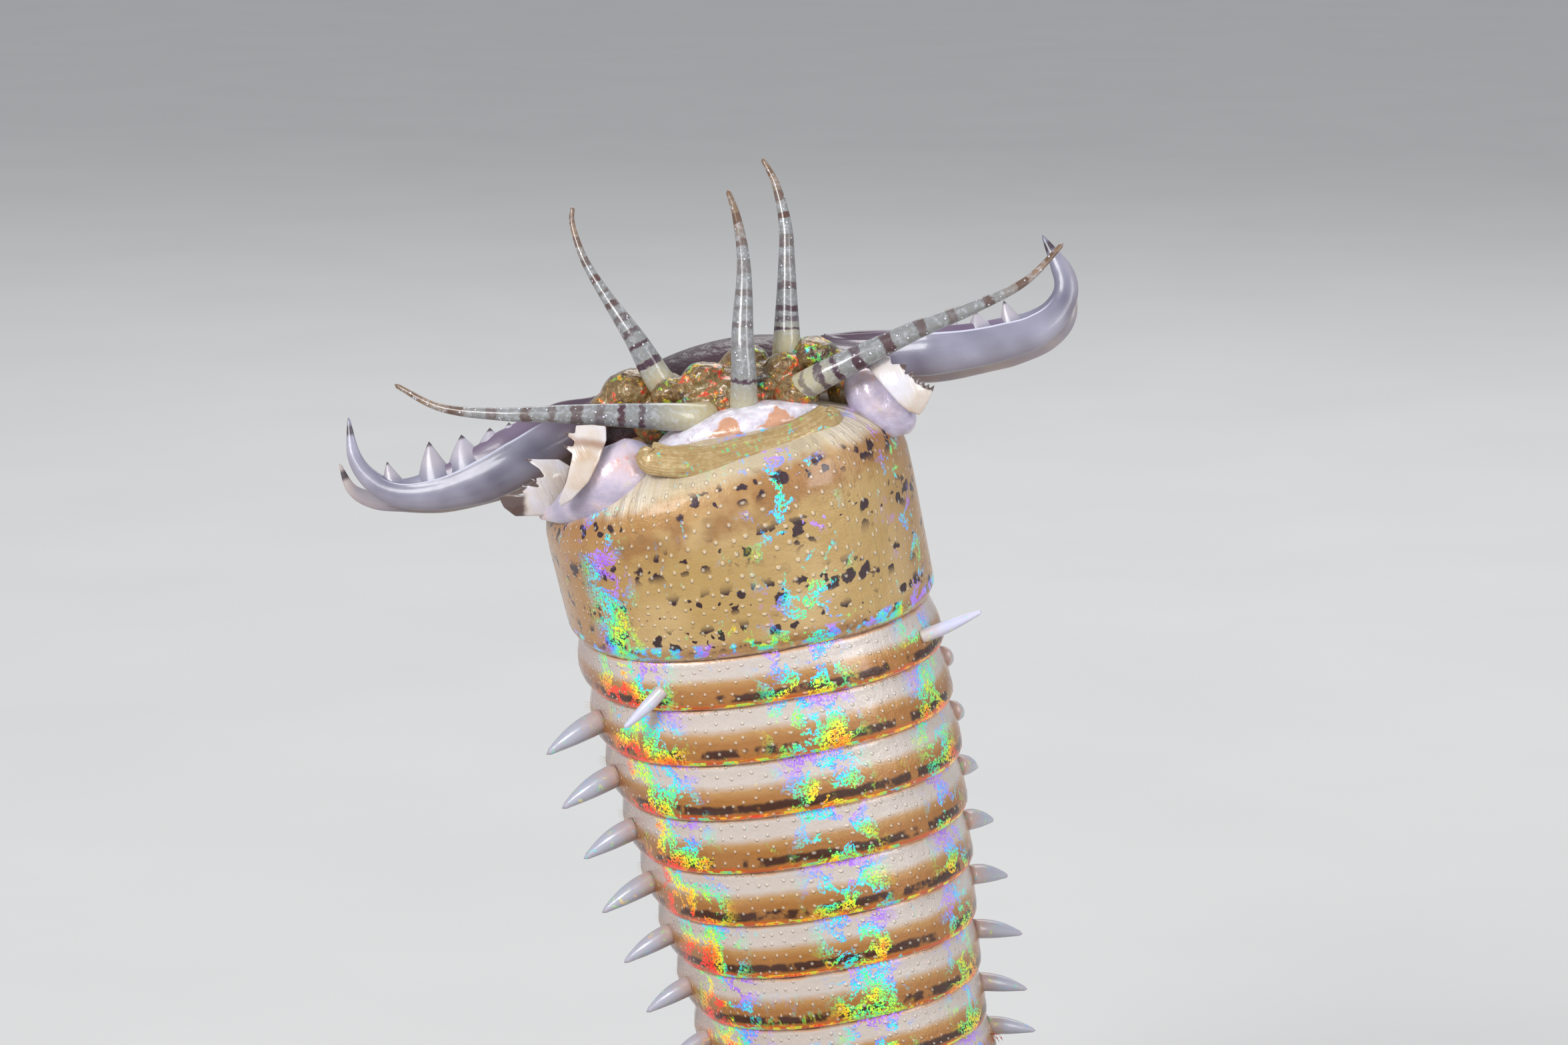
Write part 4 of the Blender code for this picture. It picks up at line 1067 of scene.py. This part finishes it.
def cirrus_places(first, last, degrees, length, thickness, lift, trail, shy=0.0):
    """Return where the threads of one kind stand, on both sides of the segments from first to last.

    The first ones on the right-hand side are shorter and turn away from the back by shy."""
    places = {-1: [], 1: []}
    for number in range(first, last):
        middle = (STARTS[number] + STARTS[number + 1]) / 2
        reach = half_width(middle)
        tailward = tailward_at(middle)
        _, back, _ = section(middle)
        for side, stood in places.items():
            angle = side * math.radians(degrees)
            wander = chance(number * 1.7, side * 3.1, degrees)
            way = outward_at(middle, angle) + back * (lift + 0.1 * wander) + tailward * trail
            size = reach * length * (1 + 0.1 * wander)
            if side > 0:
                way -= back * (shy * (1 - smooth(number / 7)))
                size *= 1 - 0.4 * shy * (1 - smooth(number / 4))
            root = skin_point(middle, angle, ROOT_DEPTH)
            stood.append(standing(root, way, tailward, size, reach * thickness))
    return places[-1] + places[1]


def grown(places, growth):
    """Return the places with each thread scaled by the growth at its number along its side."""
    count = len(places) // 2
    shares = [growth(index % count) for index in range(len(places))]
    return [matrix @ Matrix.Diagonal((*[share] * 3, 1)) for matrix, share in zip(places, shares)]


def comb(filaments):
    """Return a gill's shape: a curved stem along Z with filaments that point along X."""
    stem = spindle(4, 3, 0.15, 0.4)
    bmesh.ops.scale(stem, vec=(0.05, 0.05, 1), verts=stem.verts)
    parts = [mesh_data(stem)]
    for index in range(filaments):
        height = mix(0.12, 0.92, index / (filaments - 1))
        thread = spindle(3, 2, 0.3, 0.5)
        bmesh.ops.scale(thread, vec=(0.035, 0.035, mix(0.85, 0.4, height)), verts=thread.verts)
        turn = Vector((1, 0.25 * (-1) ** index, 0.45)).to_track_quat("Z", "X").to_matrix().to_4x4()
        bmesh.ops.transform(thread, matrix=Matrix.Translation((0, 0, height)) @ turn, verts=thread.verts)
        parts.append(mesh_data(thread))
    return joined(parts)


def bristle_tuft():
    """Return a fan of bristles of length 1 along Z."""
    bristle = bmesh.new()
    bmesh.ops.create_cone(bristle, segments=3, radius1=0.028, radius2=0.004, depth=1)
    bmesh.ops.translate(bristle, vec=(0, 0, 0.5), verts=bristle.verts)
    leans = (-26, -13, 0, 13, 26)
    return scattered(bristle, [Matrix.Rotation(math.radians(lean), 4, "Y") for lean in leans])


def tail_places():
    """Return where the two threads of the tail stand, their tips low over the floor."""
    places = []
    centre, _, across = section(BODY_END)
    tailward = tailward_at(BODY_END)
    for side in (-1, 1):
        root = centre + tailward * MM + across * (side * 0.8 * MM)
        tip = centre + tailward * (10.8 * MM) + across * (side * 3.3 * MM)
        tip.z = 0.8 * MM
        way = tip - root
        places.append(standing(root, way, across * side, way.length, TAIL_CIRRUS_RADIUS))
    return places


def tooth(root, tip, radius):
    """Return a hooked tooth, broad at its foot, between two places on the picture plane."""
    def place(around, along):
        angle = math.tau * around
        girth = radius * (1 - along) ** 0.9
        width = girth * math.cos(angle) + TOOTH_HOOK * radius * (along ** 2 - along)
        return Vector((width, girth * TOOTH_FLAT * math.sin(angle), along * length))

    start = at(*root)
    way = at(*tip) - start
    length = way.length / MM
    mesh = bent_grid(*TOOTH_GRID, place, lambda around, along: (around + TOOTH_MARK, along))
    bmesh.ops.transform(mesh, matrix=standing(start, way, ACROSS, MM, MM), verts=mesh.verts)
    return mesh


def plate(outline, towards, crown):
    """Return a plate from its outline on the picture plane, crowned towards the viewer."""
    mesh = bmesh.new()
    corners = [mesh.verts.new(at(across, up, towards - PLATE_MM / 2)) for across, up in outline]
    face = mesh.faces.new(corners)
    raised = bmesh.ops.extrude_face_region(mesh, geom=[face])
    moved = [item for item in raised["geom"] if isinstance(item, bmesh.types.BMVert)]
    bmesh.ops.translate(mesh, vec=TOWARDS * (PLATE_MM * MM), verts=moved)
    bmesh.ops.recalc_face_normals(mesh, faces=mesh.faces)
    low = [min(axis) for axis in zip(*outline)]
    high = [max(axis) for axis in zip(*outline)]
    middle = at(*[(first + last) / 2 for first, last in zip(low, high)], towards)
    reach = max(last - first for first, last in zip(low, high)) / 2
    soft = melted([mesh], PLATE_VOXEL_MM, PLATE_SMOOTHING)
    for vert in soft.verts:
        away = (vert.co - middle).length / MM / reach
        vert.co += TOWARDS * (crown * (1 - away ** 2) * MM)
    return soft


# Settings

def colour(name, description, value):
    """Return a colour property."""
    return FloatVectorProperty(
        name=name, description=description, subtype="COLOR", size=3, min=0.0, max=1.0, default=value
    )


def width_share(name, description, value):
    """Return the property of a length that is a share of the half width."""
    told = description + " as a share of the half width"
    return FloatProperty(name=name, description=told, subtype="FACTOR", min=0.05, max=0.6, default=value)


def watts(name, description, value):
    """Return a lamp's power property."""
    return FloatProperty(name=name, description=description, unit="POWER", min=0.0, default=value)


class WormBodySettings(bpy.types.PropertyGroup):
    """Sizes and colours of the body."""

    sides: IntProperty(
        name="Skin sides", description="Faces around the skin", default=56, min=16, max=64
    )
    cirrus_length: width_share("Cirrus length", "Length of a back cirrus", 0.38)
    gill_length: width_share("Gill length", "Length of a full-grown gill", 0.4)
    bristle_length: width_share("Bristle length", "Length of the side bristles", 0.27)
    bronze: colour("Bronze", "Rear half of each segment", (0.33, 0.14, 0.034))
    ochre: colour("Ochre", "Middle of each segment", (0.42, 0.23, 0.08))
    pale: colour("Pale band", "Front half of each segment", (0.54, 0.48, 0.44))
    tan: colour("Tan", "First ring", (0.42, 0.275, 0.10))
    dark: colour("Dark dashes", "Dashes before each segment's rear edge", (0.04, 0.012, 0.008))
    cirrus: colour("Cirrus", "Side and back cirri", (0.36, 0.375, 0.45))
    gill: colour("Gill red", "Gill filaments", (0.50, 0.05, 0.03))
    bristle: colour("Bristle gold", "Side bristles", (0.62, 0.46, 0.2))


class WormHeadSettings(bpy.types.PropertyGroup):
    """Colours of the head's parts."""

    gold: colour("Gold", "Head lobe and collar", (0.21, 0.13, 0.042))
    white: colour("White", "Fold behind the feelers", (0.66, 0.62, 0.70))
    feeler: colour("Feeler grey", "Shafts of the feelers", (0.21, 0.215, 0.215))
    jaw: colour("Jaw mauve", "Jaws", (0.225, 0.22, 0.288))
    jaw_dark: colour("Jaw shade", "Darker clouds on the jaws", (0.12, 0.115, 0.168))
    ivory: colour("Ivory", "Toothed plates", (0.60, 0.54, 0.50))
    pearl: colour("Pearl", "Soft pads beside the jaws", (0.44, 0.40, 0.52))
    flesh: colour("Throat flesh", "Turned-out throat behind the head lobe", (0.06, 0.03, 0.04))


class WormStageSettings(bpy.types.PropertyGroup):
    """The studio round the worm."""

    floor_size: FloatProperty(
        name="Floor size", description="Width of the floor", default=12.0, min=1.0, unit="LENGTH"
    )
    floor_colour: colour("Floor", "Pale plain floor", (0.62, 0.617, 0.61))
    sky: FloatProperty(name="Surround light", description="Strength of the light all round", default=0.6)
    key: watts("Key light", "Power of the main soft light", 8.4)
    fill: watts("Fill light", "Power of the second soft light", 4.0)
    rim: watts("Rim light", "Power of the light from behind", 2.2)


# Operators

class WORM_OT_skin(bpy.types.Operator):
    """Build the skin over the whole body"""

    bl_idname = "worm.skin"
    bl_label = "Build Skin"

    def execute(self, context):
        settings = context.scene.worm_body
        flesh = sorted(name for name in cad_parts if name.startswith(("body_", "trunk_")))
        solids = ("peristomium", "second_ring", "tail", *flesh)
        add_piece("skin", skin_mesh(settings.sides), skin_finish(settings), "bronze_skin", *solids)
        return {"FINISHED"}


class WORM_OT_outgrowths(bpy.types.Operator):
    """Build the cirri, gills and bristles along both sides"""

    bl_idname = "worm.outgrowths"
    bl_label = "Build Cirri, Gills and Bristles"

    def execute(self, context):
        settings = context.scene.worm_body
        cirrus = settings.cirrus_length
        gill = settings.gill_length
        bristle = settings.bristle_length
        grey = cirrus_finish("cirrus_skin", (0.50, 0.34, 0.28), settings.cirrus)
        gold = plain_finish("bristle_gold", settings.bristle, 2.0, 0.3, 0.02)
        red = cirrus_finish("gill_red", (0.30, 0.03, 0.02), settings.gill)
        behind = FRONT_SEGMENTS + 2
        count = len(STARTS) - 1
        last_gill = sum(1 for start in STARTS if start < GILLS_END)

        # First and last segment, degrees from the back, length, thickness, lift, trail and shyness
        front = cirrus_places(0, behind, 86, cirrus, 0.066, 0.0, 0.2, 1.5)
        back = cirrus_places(behind, count, 84, cirrus, 0.075, 0.25, 0.25)
        belly = cirrus_places(behind - 1, count, 116, 0.16, 0.07, -0.2, 0.1)
        tufts = cirrus_places(0, count, 99, bristle, 0.27, 0.0, 0.1)
        tufts = grown(tufts, lambda number: mix(0.3, 1.0, smooth((number - 4) / GROWN_OVER)))
        gills = cirrus_places(FIRST_GILL, last_gill, 74, gill, gill, 0.75, 0.1)
        gills = grown(gills, lambda number: min(0.3 + 0.7 * number / GROWN_OVER, 1.0))

        for name, shape, places, finish, slot in (
            ("front_cirri", spindle(14, 16, 0.9, 0.16, 0.3), front, grey, "feeler_grey"),
            ("back_cirri", spindle(5, 4, 0.6, 0.3, 0.1), back, grey, "feeler_grey"),
            ("belly_cirri", spindle(5, 3, 0.3, 0.5, 0.2), belly, grey, "feeler_grey"),
            ("bristles", bristle_tuft(), tufts, gold, "bronze_skin"),
            ("gills", comb(6), gills, red, "throat_flesh"),
            ("tail_cirri", spindle(12, 16, 0.0, 0.3), tail_places(), grey, "feeler_grey"),
        ):
            add_piece(name, scattered(shape, places), finish, slot)
        return {"FINISHED"}


class WORM_OT_ring_cirri(bpy.types.Operator):
    """Build the two pale cirri of the second ring"""

    bl_idname = "worm.ring_cirri"
    bl_label = "Build Ring Cirri"

    def execute(self, context):
        pale = cirrus_finish("ring_cirrus_skin", (0.50, 0.42, 0.40), (0.52, 0.54, 0.68))
        for name, degrees, tip in (
            ("cirrus_left", -41, (-11.4, -15.0, 12.0)), ("cirrus_right", 50, (14.6, -6.7, 7.0)),
        ):
            root = skin_point(RING_CIRRUS_PLACE, math.radians(degrees), ROOT_DEPTH)
            way = at(*tip) - root
            place = standing(root, way, UP, way.length, RING_CIRRUS_RADIUS)
            mesh = scattered(spindle(20, 30, 0.4, 0.3, 0.25), [place])
            add_piece("ring_" + name, mesh, pale, "feeler_grey", name)
        return {"FINISHED"}


# How the head lobe leans, and its lumps, each as its centre on the picture plane and its radii
HEAD_LEAN = math.radians(14)
HEAD_LUMPS = [
    ((-4.2, 8.7, 6.8), (7.2, 3.0, 4.6)), ((-11.3, 9.5, 6.8), (2.2, 1.8, 2.4)),
    ((-12.9, 8.5, 6.8), (1.4, 1.2, 1.5)), ((-9.9, 10.7, 6.6), (1.3, 1.0, 1.6)),
    ((-5.9, 10.6, 9.4), (1.75, 1.15, 1.6)), ((-8.1, 9.4, 9.8), (1.7, 1.2, 1.4)),
    ((-0.1, 11.3, 9.6), (1.5, 1.1, 1.4)), ((2.0, 12.2, 7.6), (1.9, 1.5, 2.2)),
    ((3.8, 11.4, 7.0), (1.5, 1.5, 1.8)), ((-2.9, 11.7, 7.2), (1.9, 1.4, 2.0)),
    ((-4.2, 9.9, 10.2), (1.0, 0.75, 1.1)), ((-1.4, 10.0, 10.2), (1.1, 0.8, 1.2)),
    ((-6.8, 7.4, 11.8), (1.05, 1.2, 1.4)), ((1.0, 9.4, 11.1), (1.7, 1.35, 1.6)),
    ((4.4, 9.6, 8.6), (1.2, 1.4, 1.6)),
]


class WORM_OT_head(bpy.types.Operator):
    """Build the head lobe, the turned-out throat, the white fold and the collar"""

    bl_idname = "worm.head"
    bl_label = "Build Head"

    def execute(self, context):
        settings = context.scene.worm_head
        lumps = [ball(centre, radii, HEAD_LEAN) for centre, radii in HEAD_LUMPS]
        lobes = crinkled(melted(lumps, HEAD_VOXEL_MM, HEAD_SMOOTHING), 0.11, 0.9)
        add_piece("head_lobe", lobes, head_finish(settings), "golden_skin", "prostomium")
        flesh = plain_finish("throat_flesh", settings.flesh, 0.8, 0.3, 0.3)
        throat = ball((-5.0, 9.2, 0.9), (9.4, 4.3, 5.2), math.radians(16), 48, 32)
        add_piece("throat", throat, flesh, "throat_flesh", "pharynx")
        fold = crinkled(ball((-3.2, 6.5, 11.0), (6.4, 2.0, 3.4), math.radians(13), 96, 48), 0.12, 0.7)
        add_piece("white_fold", fold, nuchal_finish(settings), "nuchal_white", "nuchal_fold")
        add_piece("collar_welt", collar_mesh(), collar_finish(), "golden_skin", "collar")
        return {"FINISHED"}


def collar_mesh():
    """Return the rounded welt across the front edge of the first ring."""
    line = []
    for index in range(COLLAR_ROWS + 1):
        share = index / (COLLAR_ROWS / 2) - 1
        hook = smooth((abs(share) - 0.88) / 0.12)
        turn = COLLAR_SPREAD * share * (0.96 - 0.05 * hook) * (COLLAR_LEFT_SHARE if share < 0 else 1)
        place = COLLAR_PLACE - COLLAR_HOOK * hook - RIM_RISE * math.cos(turn)
        place += COLLAR_SKEW * share - COLLAR_RISE * share ** 2
        line.append(skin_point(place, turn, COLLAR_SCALE))

    def place(around, along):
        index = round(along * COLLAR_ROWS)
        centre = line[index]
        ahead = (line[min(index + 1, COLLAR_ROWS)] - line[max(index - 1, 0)]).normalized()
        outward = square_to(ahead, (centre - line_point(0)).normalized())
        across = ahead.cross(outward)
        angle = math.tau * around
        radius = COLLAR_RADIUS_MM * MM * min(1.0, math.sin(math.pi * along) * 4.5) ** 0.6
        swell = 1 + 0.12 * chance(along * 9, math.cos(angle), math.sin(angle))
        section_point = outward * (0.5 * math.cos(angle) - 0.12) + across * (1.42 * math.sin(angle))
        return centre + section_point * (radius * swell)

    return bent_grid(28, COLLAR_ROWS, place)


# Middle, width and strength of each dark ring, as shares of a feeler's length and of full darkness
FEELER_BANDS = {
    "antenna_median": [
        (0.2, 0.015, 1), (0.34, 0.03, 0.35), (0.42, 0.025, 0.6), (0.49, 0.015, 0.4), (0.55, 0.03, 0.6),
        (0.66, 0.06, 0.35), (0.76, 0.03, 0.7), (0.87, 0.05, 0.8),
    ],
    "antenna_left": [
        (0.19, 0.03, 1), (0.28, 0.02, 1), (0.345, 0.025, 0.8), (0.42, 0.035, 0.7), (0.5, 0.03, 1),
        (0.57, 0.015, 0.6), (0.64, 0.035, 0.9), (0.73, 0.045, 0.8), (0.83, 0.05, 0.7), (0.94, 0.04, 0.6),
    ],
    "antenna_right": [
        (0.17, 0.012, 1), (0.215, 0.022, 0.8), (0.265, 0.03, 1), (0.37, 0.035, 0.8), (0.48, 0.06, 0.4),
        (0.58, 0.06, 0.6), (0.7, 0.03, 0.9), (0.8, 0.05, 0.8), (0.92, 0.04, 0.7),
    ],
    "palp_left": [
        (0.24, 0.015, 0.9), (0.3, 0.02, 1), (0.36, 0.03, 0.6), (0.43, 0.035, 0.8), (0.5, 0.02, 0.6),
        (0.58, 0.03, 0.8), (0.68, 0.03, 0.6), (0.79, 0.05, 0.8), (0.92, 0.04, 0.7),
    ],
    "palp_right": [
        (0.1, 0.015, 0.6), (0.15, 0.02, 1), (0.2, 0.018, 1), (0.27, 0.03, 1), (0.37, 0.035, 0.9),
        (0.48, 0.03, 0.8), (0.58, 0.03, 0.6), (0.7, 0.03, 0.8), (0.82, 0.04, 0.8), (0.94, 0.04, 0.7),
    ],
}


class WORM_OT_feelers(bpy.types.Operator):
    """Build the five banded feelers"""

    bl_idname = "worm.feelers"
    bl_label = "Build Feelers"

    def execute(self, context):
        settings = context.scene.worm_head
        for name, (places, radii) in FEELERS.items():
            finish = feeler_finish(settings, name + "_skin", FEELER_BANDS[name])
            add_piece("banded_" + name, limb(places, radii, *FEELER_GRID), finish, "feeler_grey", name)
        return {"FINISHED"}


def trough(wall):
    """Return the shaping of a jaw's section: a sharp ridge, a groove and a far wall of a given height."""
    def shape(around, along):
        turn = (0.5 - around) * math.tau
        strength = smooth(along / 0.15) * (1 - smooth((along - 0.58) / 0.22))
        ridge = 0.16 * bell(turn, 0.78, 0.12)
        groove = 0.34 * bell(turn, 0.36, 0.28)
        return 1 + strength * (ridge - groove + wall * bell(turn, -0.22, 0.3))

    return shape


# Route, radii and teeth of each jaw and fang, each tooth as its root, its tip and its radius
JAWS = {
    "fang_left": (
        [(-12.5, 8.4, 0.8), (-16.2, 6.4, 1.2), (-19.2, 4.7, 1.8), (-22.7, 3.1, 2.2), (-25.6, 2.1, 2.6),
         (-28.5, 1.7, 3.0), (-30.5, 1.7, 3.2), (-32.1, 2.5, 3.4), (-33.0, 4.4, 3.6)],
        [1.5, 2.2, 2.5, 2.2, 1.8, 1.4, 0.9, 0.55, 0.08],
        [],
    ),
    "fang_right": (
        [(2.5, 12.7, 0.8), (6.2, 12.6, 1.2), (9.2, 12.4, 1.8), (12.1, 12.4, 2.2), (15.1, 12.8, 2.6),
         (17.5, 13.2, 2.9), (19.6, 13.9, 3.1), (21.0, 15.4, 3.2), (21.5, 18.6, 3.2)],
        [1.3, 1.7, 1.95, 1.95, 1.7, 1.5, 1.1, 0.7, 0.08],
        [],
    ),
    "jaw_left": (
        [(-12.8, 8.5, 4.2), (-15.6, 7.1, 4.8), (-17.4, 6.0, 5.4), (-19.5, 4.6, 6.0), (-22.4, 3.1, 6.0),
         (-25.4, 2.2, 5.8), (-28.3, 2.1, 5.6), (-30.3, 3.0, 5.4), (-31.7, 4.8, 5.2), (-32.2, 7.8, 5.0)],
        [1.2, 1.5, 1.75, 1.9, 1.75, 1.35, 1.05, 0.8, 0.5, 0.08],
        [((-25.5, 2.9, 5.4), (-26.2, 6.0, 5.5), 1.6), ((-23.1, 3.9, 5.4), (-23.8, 6.5, 5.6), 1.9),
         ((-21.3, 4.9, 5.4), (-21.7, 7.0, 5.6), 1.75), ((-19.9, 5.6, 5.4), (-20.3, 7.4, 5.6), 1.4),
         ((-28.7, 2.6, 5.4), (-29.3, 4.5, 5.4), 0.95)],
    ),
    "jaw_right": (
        [(2.6, 12.9, 4.2), (5.6, 12.5, 4.8), (8.3, 12.4, 5.4), (11.0, 12.6, 6.0), (13.5, 12.9, 6.0),
         (15.9, 13.4, 5.8), (18.4, 14.2, 5.6), (20.2, 15.7, 5.3), (20.8, 17.9, 5.1), (19.1, 21.3, 4.7)],
        [1.1, 1.35, 1.6, 1.75, 1.6, 1.5, 1.35, 1.0, 0.75, 0.08],
        [((17.1, 14.2, 5.6), (16.2, 16.4, 5.6), 1.1), ((14.7, 13.9, 5.6), (14.1, 15.6, 5.7), 1.3),
         ((12.9, 13.7, 5.7), (12.6, 14.9, 5.8), 0.8), ((11.3, 13.6, 5.8), (11.1, 14.6, 5.9), 0.6)],
    ),
}


class WORM_OT_jaws(bpy.types.Operator):
    """Build the jaws and fangs of both sides with their teeth"""

    bl_idname = "worm.jaws"
    bl_label = "Build Jaws"

    def execute(self, context):
        settings = context.scene.worm_head
        mauve = jaw_finish("jaw_mauve", settings.jaw_dark, settings.jaw, (0.34, 0.335, 0.44))
        cream = jaw_finish("fang_cream", settings.jaw, (0.40, 0.34, 0.34), (0.56, 0.50, 0.42))
        for name, (places, radii, teeth) in JAWS.items():
            left = name.endswith("left")
            shape = trough(LEFT_WALL if left else RIGHT_WALL) if teeth else None
            flat = JAW_FLAT if teeth else FANG_FLAT
            meshes = [limb(places, radii, *JAW_GRID, flat, shape, not left)]
            meshes += [tooth(*each) for each in teeth]
            whole = joined([mesh_data(mesh) for mesh in meshes])
            add_piece("polished_" + name, whole, mauve if teeth else cream, "jaw_mauve", name)
        return {"FINISHED"}


# Outline, dark tips, crown and place towards the viewer of each toothed plate, in millimetres
PLATES = {
    "plate_left_inner": (
        [(-14.9, 6.95), (-13.8, 7.0), (-12.75, 6.9), (-12.7, 5.95), (-13.2, 4.4), (-13.95, 2.9),
         (-15.2, 1.6), (-15.95, 1.15), (-16.15, 1.5), (-15.55, 2.9), (-15.2, 4.3), (-15.1, 4.9),
         (-15.95, 5.6), (-15.05, 5.4), (-14.95, 5.8), (-15.9, 6.5), (-14.95, 6.35)],
        [(-15.85, 5.55), (-15.8, 6.45)], 1.1, 15.2,
    ),
    "plate_left_outer": (
        [(-18.95, 4.65), (-17.9, 4.6), (-16.4, 4.6), (-15.6, 4.1), (-16.0, 2.5), (-16.8, 1.0),
         (-17.3, 0.5), (-19.6, 0.45), (-20.45, 1.1), (-20.8, 1.8), (-20.1, 2.05), (-18.9, 1.95),
         (-19.2, 2.8), (-17.6, 2.5), (-18.5, 3.2), (-17.4, 3.3), (-17.8, 3.9)],
        [(-18.85, 4.6), (-19.1, 2.75), (-18.4, 3.15)], 0.9, 9.0,
    ),
    "plate_right": (
        [(6.1, 11.15), (6.9, 11.9), (7.65, 12.0), (7.75, 11.4), (8.85, 11.45), (8.65, 10.6), (9.4, 10.9),
         (9.25, 10.25), (9.85, 10.4), (9.65, 9.92), (10.2, 10.15), (10.0, 9.72), (10.55, 10.05),
         (10.35, 9.6), (10.9, 9.95), (10.65, 9.2), (10.15, 8.2), (9.8, 7.75), (9.0, 8.0), (8.25, 8.6),
         (7.2, 9.8)],
        [(8.8, 11.4), (9.35, 10.85), (9.8, 10.35), (10.15, 10.1), (10.5, 10.0), (10.85, 9.9)], 0.9, 12.4,
    ),
}


def darkness(place, tips):
    """Return how near a place lies to the dark tips, as seen by the viewer."""
    offset = (place - VIEW_MIDDLE) / MM
    seen = Vector((offset.dot(ACROSS), offset.dot(UP)))
    return max(bell((seen - Vector(tip)).length, 0, 0.5) for tip in tips)


class WORM_OT_plates(bpy.types.Operator):
    """Build the small toothed plates beside the jaws"""

    bl_idname = "worm.plates"
    bl_label = "Build Plates"

    def execute(self, context):
        finish = plate_finish(context.scene.worm_head)
        for name, (outline, tips, crown, towards) in PLATES.items():
            mesh = plate(outline, towards, crown)
            piece = add_piece("toothed_" + name, mesh, finish, "plate_ivory", name)
            layer = piece.data.attributes.new(DARK, "FLOAT", "POINT")
            layer.data.foreach_set("value", [darkness(vert.co, tips) for vert in piece.data.vertices])
        return {"FINISHED"}


class WORM_OT_pads(bpy.types.Operator):
    """Build the pearly pads between the head and the jaws"""

    bl_idname = "worm.pads"
    bl_label = "Build Pads"

    def execute(self, context):
        finish = pad_finish(context.scene.worm_head)
        left = limb(
            [(-9.8, 5.2, 13.0), (-10.6, 4.6, 13.8), (-11.6, 3.7, 14.2), (-13.0, 2.7, 14.0),
             (-14.6, 1.6, 12.8), (-16.2, 0.8, 11.0), (-17.8, 0.5, 8.6)],
            [0.6, 1.75, 2.15, 2.3, 2.2, 1.9, 1.5, 1.15, 0.8, 0.5, 0.3], *PAD_GRID, PAD_FLAT,
        )
        right = crinkled(ball((7.0, 8.7, 10.3), (3.1, 1.95, 1.7), math.radians(-42), 72, 48), 0.2, 0.6)
        for name, mesh in (("pad_left", left), ("pad_right", right)):
            add_piece("pearly_" + name, mesh, finish, "pad_pearl", name)
        return {"FINISHED"}


class WORM_OT_stage(bpy.types.Operator):
    """Build the floor, the soft lights and the camera"""

    bl_idname = "worm.stage"
    bl_label = "Build Stage"

    def execute(self, context):
        settings = context.scene.worm_stage
        scene = context.scene
        mesh = bmesh.new()
        bmesh.ops.create_grid(mesh, x_segments=1, y_segments=1, size=settings.floor_size / 2)
        floor = add_object("floor", mesh_data(mesh, "floor"))
        paint = plain_finish("floor_paint", settings.floor_colour, 0.02, 0.88, 0.0, 0.97)
        floor.data.materials.append(paint)
        scene.world = bpy.data.worlds.new("studio")
        scene.world.use_nodes = True
        backdrop = scene.world.node_tree.nodes["Background"]
        backdrop.inputs["Color"].default_value = (0.86, 0.88, 0.92, 1)
        backdrop.inputs["Strength"].default_value = settings.sky
        for name, (place, size) in LAMPS.items():
            lamp = bpy.data.lights.new(name, "AREA")
            lamp.shape = "RECTANGLE"
            lamp.size, lamp.size_y = size
            lamp.energy = getattr(settings, name)
            holder = add_object(name, lamp)
            holder.location = at(*place)
            holder.visible_camera = False
            holder.rotation_euler = (VIEW_MIDDLE - holder.location).to_track_quat("-Z", "Y").to_euler()
        lens = bpy.data.cameras.new("camera")
        lens.sensor_width = SENSOR_WIDTH_MM
        lens.lens = SENSOR_WIDTH_MM * CAMERA_DISTANCE_MM / PICTURE_WIDTH_MM
        lens.clip_start = 0.01
        lens.clip_end = 50.0
        scene.camera = add_object("camera", lens)
        scene.camera.location = at(0, 0, CAMERA_DISTANCE_MM)
        scene.camera.rotation_euler = Matrix((ACROSS, UP, TOWARDS)).transposed().to_euler()
        scene.view_settings.view_transform = "Standard"
        return {"FINISHED"}


class WORM_PT_panel(bpy.types.Panel):
    """The worm's settings and its building steps"""

    bl_idname = "WORM_PT_panel"
    bl_label = "Bobbit Worm"
    bl_space_type = "VIEW_3D"
    bl_region_type = "UI"
    bl_category = "Bobbit Worm"

    def draw(self, context):
        layout = self.layout
        for label in ("body", "head", "stage"):
            group = getattr(context.scene, "worm_" + label)
            box = layout.box()
            box.label(text=label.title())
            for key in group.__annotations__:
                box.prop(group, key)
        for step in STEPS:
            layout.operator(step.bl_idname)


STEPS = (
    WORM_OT_stage, WORM_OT_skin, WORM_OT_outgrowths, WORM_OT_ring_cirri, WORM_OT_head, WORM_OT_feelers,
    WORM_OT_jaws, WORM_OT_plates, WORM_OT_pads,
)
CLASSES = (WormBodySettings, WormHeadSettings, WormStageSettings, *STEPS, WORM_PT_panel)


def register():
    """Add the settings, the operators and the panel."""
    for each in CLASSES:
        bpy.utils.register_class(each)
    bpy.types.Scene.worm_body = PointerProperty(type=WormBodySettings)
    bpy.types.Scene.worm_head = PointerProperty(type=WormHeadSettings)
    bpy.types.Scene.worm_stage = PointerProperty(type=WormStageSettings)


def unregister():
    """Remove what register added."""
    del bpy.types.Scene.worm_stage
    del bpy.types.Scene.worm_head
    del bpy.types.Scene.worm_body
    for each in reversed(CLASSES):
        bpy.utils.unregister_class(each)


def main():
    """Build every piece."""
    register()
    bpy.ops.worm.stage()
    bpy.ops.worm.skin()
    bpy.ops.worm.outgrowths()
    bpy.ops.worm.ring_cirri()
    bpy.ops.worm.head()
    bpy.ops.worm.feelers()
    bpy.ops.worm.jaws()
    bpy.ops.worm.plates()
    bpy.ops.worm.pads()


if __name__ == "__main__":
    main()
